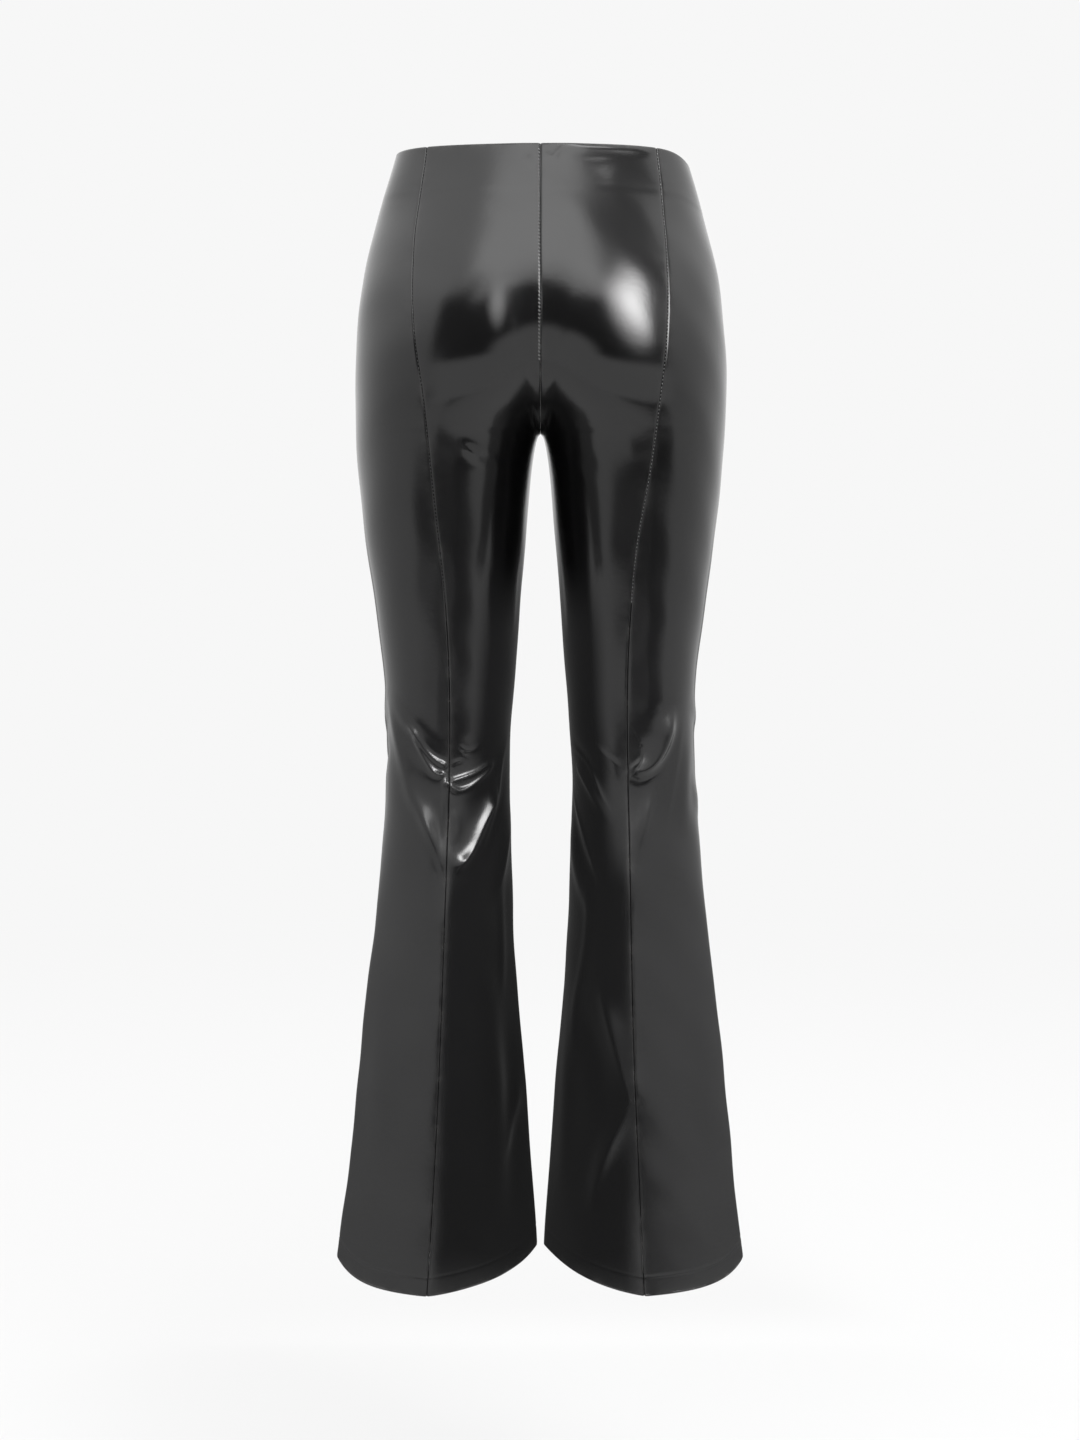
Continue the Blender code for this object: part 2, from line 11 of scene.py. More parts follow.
import bpy
import numpy as np
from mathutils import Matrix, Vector


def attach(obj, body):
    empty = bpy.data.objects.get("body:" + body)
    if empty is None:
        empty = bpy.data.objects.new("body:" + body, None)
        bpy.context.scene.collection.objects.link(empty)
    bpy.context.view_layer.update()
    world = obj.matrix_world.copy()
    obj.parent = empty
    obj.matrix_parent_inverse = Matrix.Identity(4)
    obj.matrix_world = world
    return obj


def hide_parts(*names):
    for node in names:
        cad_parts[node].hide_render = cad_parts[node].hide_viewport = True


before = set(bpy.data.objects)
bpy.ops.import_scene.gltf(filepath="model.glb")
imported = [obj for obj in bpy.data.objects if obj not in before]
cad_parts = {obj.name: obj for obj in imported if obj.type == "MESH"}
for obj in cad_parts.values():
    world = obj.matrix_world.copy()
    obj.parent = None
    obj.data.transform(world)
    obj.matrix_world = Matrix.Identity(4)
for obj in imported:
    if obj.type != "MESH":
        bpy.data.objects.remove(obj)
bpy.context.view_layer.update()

LEFT, RIGHT = 1, -1
SIDE_NAMES = {LEFT: "left", RIGHT: "right"}
BACK, FRONT = 1, -1
MIRROR = np.array((-1.0, 1.0, 1.0))  # across the plane between the legs
MM = 0.001

# ----------------------------------------------------------------------
# Sizes of the construction, which the cloth lies on.

WALL = 0.0013
TURNED = 0.0026
HEM_DEPTH = 0.022
WAIST_TURN = 0.045
TURN_STEP = 0.001
CROTCH_Z = -0.261
HEM_Z = -1.030
HEM_BACK_DROP = 0.027
HEM_BACK_REACHES = {LEFT: (0.21, 0.24), RIGHT: (0.21, 0.40)}
HEM_FRONT_RISE = 0.016
HEM_FRONT_REACH = 0.13
HEM_SLANT_FROM = -0.600
WAIST_FRONT_DROP = 0.012
WAIST_RIGHT_DROP = 0.013
WAIST_RIGHT_REACH_BACK = 21.0
WAIST_RIGHT_REACH_FRONT = 60.0
WAIST_SLANT_TO = -0.120
CLEFT_BRIDGE = 0.030
SEAM_SAMPLES = 400
PRINCESS_SHARE = 0.45
# Below the knee the back is two flat facets, outer and inner, which meet along the princess seam.
OUTER_FACET_ROUNDING = 1.15
INNER_FACET_ROUNDING = 1.4
INNER_FACET_SHARES = {LEFT: 1.0, RIGHT: 0.3}
FRONT_FACET_ROUNDING = 1.5
FRONT_FACET_SHARE = 0.7

SECTION_COLUMNS = ("z", "outer", "inner", "middle", "back", "front",
                   "parted_back", "parted_front", "pinch", "turn", "facet")
SECTIONS = (
    (0.02, 0.1297, 0, 0, 0.082, -0.083, 0, 0, 0.34, 0, 0),
    (-0.02, 0.1419, 0, 0, 0.094, -0.091, 0.02, 0, 0.36, 0, 0),
    (-0.06, 0.1533, 0, 0.002, 0.108, -0.098, 0.12, 0.01, 0.42, 0, 0),
    (-0.115, 0.1661, 0, 0.006, 0.125, -0.104, 0.32, 0.05, 0.47, 0, 0),
    (-0.17, 0.1722, 0, 0.01, 0.134, -0.103, 0.5, 0.16, 0.5, 0, 0),
    (-0.21, 0.1742, 0, 0.01, 0.131, -0.099, 0.66, 0.36, 0.5, 0, 0),
    (-0.24, 0.174, 0, 0.008, 0.122, -0.096, 0.86, 0.72, 0.5, 0.01, 0),
    (-0.261, 0.1735, 0, 0.005, 0.112, -0.094, 1, 1, 0.5, 0.02, 0),
    (-0.304, 0.1703, 0.009, 0.002, 0.098, -0.092, 1, 1, 0.5, 0.04, 0),
    (-0.361, 0.1636, 0.0137, -0.001, 0.086, -0.089, 1, 1, 0.5, 0.06, 0),
    (-0.417, 0.1559, 0.0188, -0.004, 0.074, -0.085, 1, 1, 0.5, 0.07, 0),
    (-0.474, 0.1489, 0.0231, -0.008, 0.062, -0.08, 1, 1, 0.5, 0.08, 0),
    (-0.53, 0.1451, 0.0273, -0.011, 0.051, -0.075, 1, 1, 0.5, 0.1, 0),
    (-0.572, 0.1452, 0.0294, -0.012, 0.047, -0.072, 1, 1, 0.51, 0.12, 0.1),
    (-0.615, 0.147, 0.0292, -0.011, 0.05, -0.069, 1, 1, 0.53, 0.14, 0.35),
    (-0.671, 0.1516, 0.0275, -0.008, 0.058, -0.067, 1, 1, 0.57, 0.17, 0.65),
    (-0.728, 0.1574, 0.0252, -0.006, 0.061, -0.067, 1, 1, 0.62, 0.19, 0.85),
    (-0.784, 0.1638, 0.0212, -0.004, 0.063, -0.069, 1, 1, 0.67, 0.21, 0.95),
    (-0.841, 0.1694, 0.016, -0.003, 0.064, -0.072, 1, 1, 0.72, 0.23, 1),
    (-0.926, 0.1781, 0.0098, -0.002, 0.065, -0.077, 1, 1, 0.8, 0.25, 1),
    (-1.01, 0.1882, 0.0034, -0.002, 0.066, -0.081, 1, 1, 0.88, 0.26, 1),
    (-1.06, 0.1948, 0.002, -0.002, 0.067, -0.083, 1, 1, 0.9, 0.26, 1),
)
PRINCESS_COLUMNS = ("z", "left", "right")
PRINCESS = (
    (0.02, 0.103, 0.1055), (-0.02, 0.107, 0.109), (-0.06, 0.1125, 0.1125),
    (-0.115, 0.1165, 0.1155), (-0.17, 0.115, 0.115), (-0.24, 0.1055, 0.1075),
    (-0.304, 0.099, 0.099), (-0.361, 0.093, 0.089), (-0.417, 0.0875, 0.0835),
    (-0.474, 0.0845, 0.0805), (-0.572, 0.084, 0.0805), (-0.671, 0.0868, 0.0825),
    (-0.784, 0.0905, 0.0845), (-0.926, 0.0965, 0.0895), (-1.06, 0.1045, 0.0955),
)

# The construction's own folds: angle and height of both ends, how far the middle is pushed up, width, and how
# far the cloth is pushed out, which is below 0 for a hollow. All lengths are in millimetres.
LEFT_FOLDS = (
    # Behind the knee, from the side seam down to the princess seam.
    (22, -505, 90, -572, 2, 8, 1.8),
    (42, -536, 89, -579, 3, 6, -1.2),
    (44, -546, 90, -592, 6, 7, 1.4),
    (10, -492, 64, -624, 4, 9, 1.6),
    (48, -583, 89, -668, 6, 10.5, 3),
    (84, -600, 87, -715, 0, 8, -2),
    # Behind the knee, from the princess seam up to the inside leg.
    (98, -545, 127, -543, -7, 6.5, 0.5),
    (94, -568, 132, -555, -4, 6, -0.5),
    (93, -586, 141, -562, -7, 8, 1),
    (94, -606, 152, -575, -10, 7, -1),
    (93, -670, 148, -582, 0, 9, 1),
    (108, -677, 158, -578, -4, 8, -1.6),
    (122, -652, 166, -538, 5, 7, 1),
    (136, -712, 172, -606, 3, 10, 2.4),
    # Under the seat.
    (100, -277, 124, -293, 2, 8, 0.9),
    (106, -290, 128, -304, 2, 8, -0.4),
    # Down the flares.
    (127, -745, 130, -1005, 4, 15, 3),
    (143, -790, 141, -1000, 0, 14, -2.6),
    (134, -940, 162, -860, 3, 12, 1.8),
    (34, -760, 46, -960, 3, 17, 1.8),
    # Round the side seams to the front.
    (-38, -566, 14, -497, -4, 8.5, 2.2),
    (-30, -588, 18, -548, -6, 8, -1.8),
    # Over the front: from the crotch to the hips, above the knees and down the shins.
    (-168, -262, -118, -232, 4, 9, 3),
    (-160, -286, -108, -268, 5, 8.5, -2.2),
    (-150, -306, -92, -278, 6, 10, 2.4),
    (-152, -520, -96, -546, -4, 8.5, 2),
    (-134, -648, -62, -622, -8, 10, 2.6),
    (-118, -668, -58, -650, -6, 9, -2),
    (-104, -1000, -112, -730, 3, 16, 2.8),
    (-60, -985, -68, -790, 0, 17, -2.2),
)
RIGHT_FOLDS = (
    # Behind the knee, from the side seam down to the princess seam.
    (49, -512, 93, -572, -7, 9, 1),
    (46, -530, 88, -588, -8, 6.5, -0.8),
    (70, -580, 90, -662, 3, 8, 2.4),
    (27, -545, 40, -640, 2, 10, 1.8),
    # Behind the knee, from the princess seam up to the inside leg.
    (118, -592, 166, -546, 2, 7, -1.4),
    (112, -628, 158, -568, 4, 6.5, 1.6),
    (100, -582, 132, -550, 0, 6.5, 0.8),
    (119, -690, 168, -603, -6, 7.5, -1.8),
    (124, -718, 174, -625, -4, 9, 2.2),
    # Under the seat.
    (112, -296, 136, -285, -3, 9, -0.8),
    # Down the flares.
    (97, -884, 125, -765, 4, 11, 3.6),
    (97, -876, 124, -995, 5, 11, 3.2),
    (112, -900, 140, -790, 4, 15, -3.4),
    (148, -990, 152, -740, 0, 13, 2),
    (28, -980, 40, -740, 0, 18, 1.6),
    # Round the side seams to the front.
    (-44, -548, 20, -508, -5, 9, 2),
    (-26, -628, 22, -580, -4, 9.5, 1.8),
    # Over the front: from the crotch to the hips, above the knees and down the shins.
    (-166, -268, -112, -226, 5, 8.5, 2.8),
    (-158, -300, -100, -262, 4, 10, -2.4),
    (-148, -322, -84, -300, 6, 9.5, 1.8),
    (-146, -536, -104, -552, -3, 8, 1.8),
    (-128, -632, -70, -660, -7, 10.5, 2.6),
    (-112, -654, -66, -684, -5, 9, -1.8),
    (-96, -995, -100, -750, -3, 16, 2.6),
    (-136, -980, -128, -800, 0, 15, -2),
)
FOLDS = {LEFT: LEFT_FOLDS, RIGHT: RIGHT_FOLDS}
FOLD_FADE = 1.3  # sooner than in the construction, where the finer creases below take the folds' place
FOLD_SAMPLES = 33
ARC_PER_DEGREE = 1.1  # length round a leg at the knee, in millimetres

# Finer creases: widths on the lower and upper side of the crest and its height, in millimetres, the power of
# the profile, which is 2 for a round crest and near 1 for a crisp one, the shares of the length over which it
# rises and falls, and its corners, each an angle and a height in millimetres.
LEFT_CREASES = (
    # Knee, outer side: two thin crests with a hollow between them, which meet at the seam.
    (2, 2.4, 3.2, 1.3, 0.25, 0.06, ((50, -530), (58, -538.5), (69, -554), (80, -565.5), (91, -571.5))),
    (2, 2.4, 3.2, 1.3, 0.2, 0.08, ((56, -540), (61, -549), (73, -568.5), (81, -578), (90, -579))),
    (5, 4.4, 1.8, 1.7, 0.5, 0.2, ((50, -586), (62, -602), (73, -625), (83, -646), (89, -678))),
    (6, 6, 0.9, 1.6, 0.4, 0.4, ((18, -508), (42, -557), (63, -621))),
    (2, 2, 3.4, 1.3, 0.15, 0.6, ((88.5, -578), (88.8, -600), (88.5, -640))),
    # Knee, inner side: a closed crescent with a hollow in it, under two short faint folds.
    (2, 2.2, 1.2, 1.5, 0.4, 0.4, ((99, -549), (106, -556), (113, -557), (125, -549))),
    (1.8, 1.8, 0.8, 1.5, 0.4, 0.4, ((94, -571), (101, -567), (108, -567))),
    (2, 2.4, 2, 1.5, 0.1, 0.14, ((93, -586), (106, -582), (119, -577), (136, -567))),
    (2, 2.6, 2.6, 1.5, 0.1, 0.14,
     ((91, -583), (94, -589), (101, -594), (110, -592), (122, -584), (134, -573), (139, -566))),
    # Knee: the long bright diagonal and what runs beside it.
    (3.4, 5.8, 6.2, 1.3, 0.16, 0.25,
     ((100, -671), (102, -666.5), (111, -653.7), (118, -640), (126, -623), (137, -607), (148, -594))),
    (2.6, 2.6, 0.9, 1.3, 0.3, 0.4, ((164, -546), (153, -563), (146, -600), (124, -652), (113, -680))),
    (3.4, 3.4, 1, 1.5, 0.3, 0.4, ((170, -625), (148, -670), (137, -699))),
    (4, 4, 0.7, 1.6, 0.3, 0.4, ((95, -610), (101, -622), (98, -645))),
    # Down the flares.
    (6, 6, 1.2, 1.8, 0.3, 0.3, ((143, -670), (146, -730), (140, -800))),
    (6, 6, 1.4, 1.8, 0.3, 0.3, ((158, -870), (142, -913), (136, -945))),
    # Seat and waist.
    (3.4, 3.4, 2, 1.8, 0.5, 0.5, ((99, -272), (107, -281), (117, -293))),
    (3, 3, 0.9, 1.8, 0.5, 0.5, ((112, -276), (121, -284), (130, -297))),
    (2, 2, 0.5, 1.5, 0.3, 0.3, ((89, -24), (87, -18), (86, -11))),
)
RIGHT_CREASES = (
    # Knee, outer side: one broad crescent with a crisp lower edge.
    (5.6, 12, 7, 1.4, 0.1, 0.34,
     ((94, -570), (87, -575.5), (77, -572.5), (68, -563.5), (59, -547), (55, -531), (51, -512))),
    (3.4, 3.4, 1, 1.5, 0.4, 0.4, ((71, -590), (79, -615), (87, -650))),
    (4, 4, 0.8, 1.5, 0.4, 0.4, ((36, -520), (44, -560), (58, -610), (70, -650))),
    # Knee, inner side.
    (2.2, 2.2, 1.2, 1.3, 0.2, 0.5, ((165, -555), (141, -568), (124, -594), (109, -621))),
    (2, 2, 1, 1.3, 0.2, 0.5, ((160, -571), (136, -594), (120, -618))),
    (2.6, 2.6, 1.2, 1.3, 0.3, 0.5, ((172, -591), (146, -634), (131, -668), (121, -690))),
    (2.4, 2.4, 0.6, 1.5, 0.4, 0.4, ((132, -549), (118, -560), (101, -574))),
    # Down the flares.
    (5, 5, 1.8, 1.3, 0.2, 0.1, ((123, -770), (111, -812), (102, -852), (95, -884))),
    (5, 5, 1.8, 1.3, 0.1, 0.3, ((95, -880), (107, -914), (117, -953), (123, -990))),
    (6, 6, 1.2, 1.8, 0.3, 0.3, ((140, -660), (137, -734), (145, -791), (141, -860))),
    # Seat and waist.
    (2.2, 2.2, 0.7, 1.5, 0.2, 0.4, ((90, -8), (86, -14), (83, -7), (75, -5))),
    (2.4, 3, 0.2, 1.7, 0.3, 0.5, ((84, -13), (76, -17), (66, -16), (52, -6))),
    (4, 3, 1.7, 1.7, 0.25, 0.3, ((82, -5), (70, -4.8), (55, -4.6), (38, -4.6))),
)
CREASES = {LEFT: LEFT_CREASES, RIGHT: RIGHT_CREASES}
CREASE_SAMPLES = 25
CREST_ROUNDING = 0.04  # squared share of the width over which even a crisp crest is round

# ----------------------------------------------------------------------
# Sizes of the finer cloth.

# Heights at the side seam, and how high the cells between them are.
ROW_HEIGHTS = (0.0, -0.060, CROTCH_Z, -0.320, -0.490, -0.720, -0.995, HEM_Z)
CELL_HEIGHTS = (0.0024, 0.0036, 0.0030, 0.0036, 0.0014, 0.0034, 0.0012)
# Distances of a panel's columns from each of its seams, and how many columns lie between those.
EDGE_STEPS = (0.0, 0.0002, 0.00045, 0.0008, 0.0013, 0.0021, 0.0033, 0.0050)
MIDDLE_COLUMNS = {"front": 56, "back_side": 58, "back_centre": 70}
# A panel's reach round the leg, as shares of the way from the side seam to the centre seams.
PANEL_SHARES = {"front": (-1.0, 0.0), "back_side": (0.0, PRINCESS_SHARE),
                "back_centre": (PRINCESS_SHARE, 1.0)}
ROUGH_COLUMNS = 41
RIM_ROWS = 5  # rows round each folded edge

# How deep both panels' edges roll in at a seam, on a panel's first and last side.
GROOVE_DEPTHS = {"front": (0.0013, 0.0009), "back_side": (0.0009, 0.0014), "back_centre": (0.0014, 0.0014)}
VISIBLE_GAP = 0.00004
MITRE_LIMIT = 0.6
GROOVE_WIDTH = 0.00065
LEAST_WALL = 0.0003  # under a groove
PUCKER_CLEAR = 0.0013  # distance from a seam over which its puckers die out
PUCKER_HEIGHT = 0.00009
PUCKER_REACH = 0.007
PUCKER_LOSS = 0.8  # share by which they weaken from the waist down to this far below it
PUCKER_LOSS_BY = 0.42
PUCKER_WAVES = (0.0105, 0.0167, 0.0270)  # their lengths along a seam
PUCKER_SWELL, PUCKER_WARP = 2.3, 1.7  # how slowly their height and spacing vary, in their own lengths
PUCKER_DRIFT = 0.8  # how far the spacing varies
PUCKER_SEED = 11
HEM_STITCH_UP = 0.0175  # height of the hem's stitching above the edge
HEM_GROOVE = 0.00022
WAIST_LINE_RISE = 0.00016  # how far the turned-in edge shows through
WAIST_LINE_REACH = 0.012
LINE_WIDTH = 0.0011
# Slow waves of the whole cloth: height, how fast they turn along each axis, and phase.
WAVES = (
    (0.00050, (31.0, 17.0, 9.0), 0.3),
    (0.00034, (-24.0, 38.0, 27.0), 1.9),
    (0.00022, (47.0, -29.0, 61.0), 4.1),
    (0.00013, (83.0, 71.0, -96.0), 2.6),
)
WAVE_FADE = 0.030  # distance from the centre plane over which the waves fade in

WEAR_REACH = 0.003
SEAM_WEAR = 0.5  # as a share of a folded edge's
STITCH_RINGS, STITCH_SIDES = 4, 6
STITCH_PITCH = 0.0034
STITCH_DEPTH = 0.0005  # how far the seams' stitches lie below the cloth beside them
SEAM_STITCH = (0.0008, 0.0004, 0.0003)  # half sizes along, across and out of the cloth
ROPE_STITCH = (0.0012, 0.0004, 0.0004)
ROPE_SLANT = math.radians(35)
HEM_STITCH = (0.0012, 0.00028, 0.00022)
HEM_PITCH = 0.0038
STITCHED_FROM = -0.003  # the seams' stitches go down from this height to these
STITCHED_TO = {"princess": -0.420, "side": -0.300, "centre_front": -0.235, "centre_back": -0.175}
ROPE_COLUMNS = 4  # columns from the seam
# Seam allowances, pressed open inside: columns out from the seam, thickness and gap to the cloth.
ALLOWANCE_COLUMNS = (1, 4, 6, 7, 8, 9)
ALLOWANCE_WALL = 0.0008
ALLOWANCE_GAP = 0.0002
ALLOWANCE_STEP = 0.0045  # least length between its rows


def named(table, columns):
    """A table's columns by name, from the lowest height to the highest."""
    return dict(zip(columns, np.array(sorted(table)).T))


def natural_spline(knots, values):
    """A smooth curve through the knots, as a function that gives its value anywhere between them."""
    gaps = np.diff(knots)
    slopes = np.diff(values) / gaps
    size = len(knots)
    matrix = np.eye(size)
    right = np.zeros(size)
    for i in range(1, size - 1):
        matrix[i, i - 1:i + 2] = gaps[i - 1], 2 * (gaps[i - 1] + gaps[i]), gaps[i]
        right[i] = 6 * (slopes[i] - slopes[i - 1])
    bends = np.linalg.solve(matrix, right)

    def value(at):
        at = np.clip(at, knots[0], knots[-1])
        i = np.clip(np.searchsorted(knots, at) - 1, 0, size - 2)
        below = at - knots[i]
        above = knots[i + 1] - at
        cubic = (bends[i] * above**3 + bends[i + 1] * below**3) / (6 * gaps[i])
        start = (values[i] / gaps[i] - bends[i] * gaps[i] / 6) * above
        end = (values[i + 1] / gaps[i] - bends[i + 1] * gaps[i] / 6) * below
        return cubic + start + end

    return value


def smooth_step(share):
    share = np.clip(share, 0.0, 1.0)
    return share * share * (3 - 2 * share)


def levelling(share, reach):
    """A rise from 0 to 1 that is steep at first and levels out beyond its reach."""
    return (1 - np.exp(-share / reach)) / (1 - np.exp(-1 / reach))


def bell(distance, width):
    """1 at no distance, falling on both sides to almost 0 at twice the width."""
    return np.exp(-(distance / width)**2)


def unit(vectors):
    return vectors / np.linalg.norm(vectors, axis=-1, keepdims=True)


def lengths_along(points):
    """Distance of each point of a line from its first one, for every line of an array of lines."""
    steps = np.linalg.norm(np.diff(points, axis=-2), axis=-1)
    return np.concatenate([np.zeros(steps.shape[:-1] + (1,)), np.cumsum(steps, axis=-1)], axis=-1)


def quads(near, far):
    """Faces between two equal rows, or two equal grids, of point numbers."""
    return np.stack([near[:-1], far[:-1], far[1:], near[1:]], axis=-1).reshape(-1, 4).tolist()


class Sections:
    """The horizontal sections of the body and the legs, and the princess seams' places on them."""

    def __init__(self):
        table = named(SECTIONS, SECTION_COLUMNS)
        self.curves = {name: natural_spline(table["z"], table[name]) for name in SECTION_COLUMNS[1:]}
        legs = table["z"] <= CROTCH_Z
        self.inner_squared = natural_spline(table["z"][legs], table["inner"][legs]**2)
        seams = named(PRINCESS, PRINCESS_COLUMNS)
        self.princess = {leg: natural_spline(seams["z"], seams[name]) for leg, name in SIDE_NAMES.items()}

    def half_ring(self, half, z):
        """Centre and half width of the back or front half of one leg's section."""
        outer = self.curves["outer"](z)
        parted = np.clip(self.curves["parted_back" if half == BACK else "parted_front"](z), 0.0, 1.0)
        arch = np.sqrt(np.clip(self.inner_squared(z), 0.0, None))
        inner = np.where(z > CROTCH_Z, -outer * (1 - parted) / (1 + parted), arch)
        return (outer + inner) / 2, (outer - inner) / 2

    def depth(self, half, z):
        return np.abs(self.curves["back" if half == BACK else "front"](z) - self.curves["middle"](z))

    def centre_angle(self, half, z):
        """Angle at which the section meets the centre plane, or the inside leg below the crotch."""
        centre, width = self.half_ring(half, z)
        return np.where(z > CROTCH_Z, np.degrees(np.arccos(np.clip(-centre / width, -1.0, 1.0))), 180.0)

    def princess_angle(self, leg, z):
        centre, width = self.half_ring(BACK, z)
        return np.degrees(np.arccos((self.princess[leg](z) - centre) / width))

    def points(self, leg, angle, z):
        """Points of the smooth outer surface, before any fold."""
        angle, z = np.broadcast_arrays(np.asarray(angle, float), np.asarray(z, float))
        back = self.half_points(BACK, leg, np.radians(np.abs(angle)), z)
        front = self.half_points(FRONT, leg, np.radians(np.abs(angle)), z)
        return np.where((angle >= 0)[..., None], back, front)

    def facets(self, half, leg, x, z):
        """How far the section is folded into facets there, and the facets' rise as a share of its depth."""
        centre, width = self.half_ring(half, z)
        ridge = self.princess[leg](z) if half == BACK else centre
        outer = x > ridge
        away = np.abs(x - ridge) / np.where(outer, centre + width - ridge, ridge - centre + width)
        rounding = np.where(outer, OUTER_FACET_ROUNDING, INNER_FACET_ROUNDING)
        share = np.where(outer, 1.0, INNER_FACET_SHARES[leg])
        if half == FRONT:
            rounding, share = FRONT_FACET_ROUNDING, FRONT_FACET_SHARE
        return share * np.clip(self.curves["facet"](z), 0.0, 1.0), 1 - np.clip(away, 0.0, 1.0)**rounding

    def half_points(self, half, leg, angle, z):
        centre, width = self.half_ring(half, z)
        depth = self.depth(half, z)
        pinch = self.curves["pinch"](z)
        x = centre + width * np.cos(angle)
        share, facet_rise = self.facets(half, leg, x, z)
        rise = depth * ((1 - share) * np.abs(np.sin(angle))**(2 * pinch) + share * facet_rise)
        across = np.clip(1 - ((x + centre) / width)**2, 0.0, None)
        other = np.where(z > CROTCH_Z, depth * across**pinch, 0.0)
        at_centre = depth * np.clip(1 - (centre / width)**2, 0.0, None)**pinch
        parted = np.clip(centre / width, 0.0, 1.0)
        bridge = np.minimum(CLEFT_BRIDGE * smooth_step(2 * parted), 0.5 * at_centre) + 1e-9  # never 0
        blend = np.clip(1 - np.abs(rise - other) / bridge, 0.0, None)
        rise = rise + np.where(other > 0, bridge / 4 * blend**2, 0.0)
        y = self.curves["middle"](z) + self.curves["turn"](z) * (x - centre) + half * rise
        return np.stack([leg * x, y, z], axis=-1)


# ----------------------------------------------------------------------
# The grid of a leg: a row for each height and a column for each place round it.

def row_heights():
    heights = []
    for start, end, cell in zip(ROW_HEIGHTS, ROW_HEIGHTS[1:], CELL_HEIGHTS):
        count = math.ceil((start - end) / cell)
        heights += list(np.linspace(start, end, count + 1)[:-1])
    return np.array(heights + [HEM_Z])


def seam_heights(sections, half, side_heights):
    """Heights of the rows at the centre seam: level at the waist, even along the seam's curve."""
    z = CROTCH_Z * np.linspace(0, 1, SEAM_SAMPLES)**0.5
    path = sections.points(LEFT, half * sections.centre_angle(half, z), z)
    length = lengths_along(path)
    down = -np.maximum(side_heights, CROTCH_Z)
    wanted = down + (length[-1] + CROTCH_Z) * (down / -CROTCH_Z)**2
    return np.where(side_heights > CROTCH_Z, np.interp(wanted, length, z), side_heights)


def edge_trim(leg, angle, z):
    """How far the waist edge and the hem leave their level lines."""
    front = np.clip(-np.sin(np.radians(angle)), 0.0, None)
    inwards = 1 - np.abs(np.cos(np.radians(angle)))
    behind = HEM_BACK_DROP * levelling(inwards, np.where(angle < 90, *HEM_BACK_REACHES[leg]))
    hem = np.where(angle > 0, -behind, HEM_FRONT_RISE * levelling(inwards, HEM_FRONT_REACH))
    waist = -WAIST_FRONT_DROP * front**2
    if leg == RIGHT:
        reach = np.where(angle > 0, WAIST_RIGHT_REACH_BACK, WAIST_RIGHT_REACH_FRONT)
        waist = waist - WAIST_RIGHT_DROP * np.exp(-(angle / reach)**2)
    near_waist = smooth_step(1 - z / WAIST_SLANT_TO)
    near_hem = smooth_step((z - HEM_SLANT_FROM) / (HEM_Z - HEM_SLANT_FROM))
    return waist * near_waist + hem * near_hem


def places(leg, sections, shares, side, centre):
    """Angle and height of the places at these shares of the way from the side seam to the centre seams."""
    centre_z = np.where(shares < 0, centre[FRONT][:, None], centre[BACK][:, None])
    z = side[:, None] + (centre_z - side[:, None]) * shares**2

    def angles(z):
        front = shares * sections.centre_angle(FRONT, z)
        princess = sections.princess_angle(leg, z)
        beyond = (shares - PRINCESS_SHARE) / (1 - PRINCESS_SHARE)
        back = princess + beyond * (sections.centre_angle(BACK, z) - princess)
        back_side = princess * shares / PRINCESS_SHARE
        return np.where(shares < 0, front, np.where(shares < PRINCESS_SHARE, back_side, back))

    z = z + edge_trim(leg, angles(z), z)
    return angles(z), z


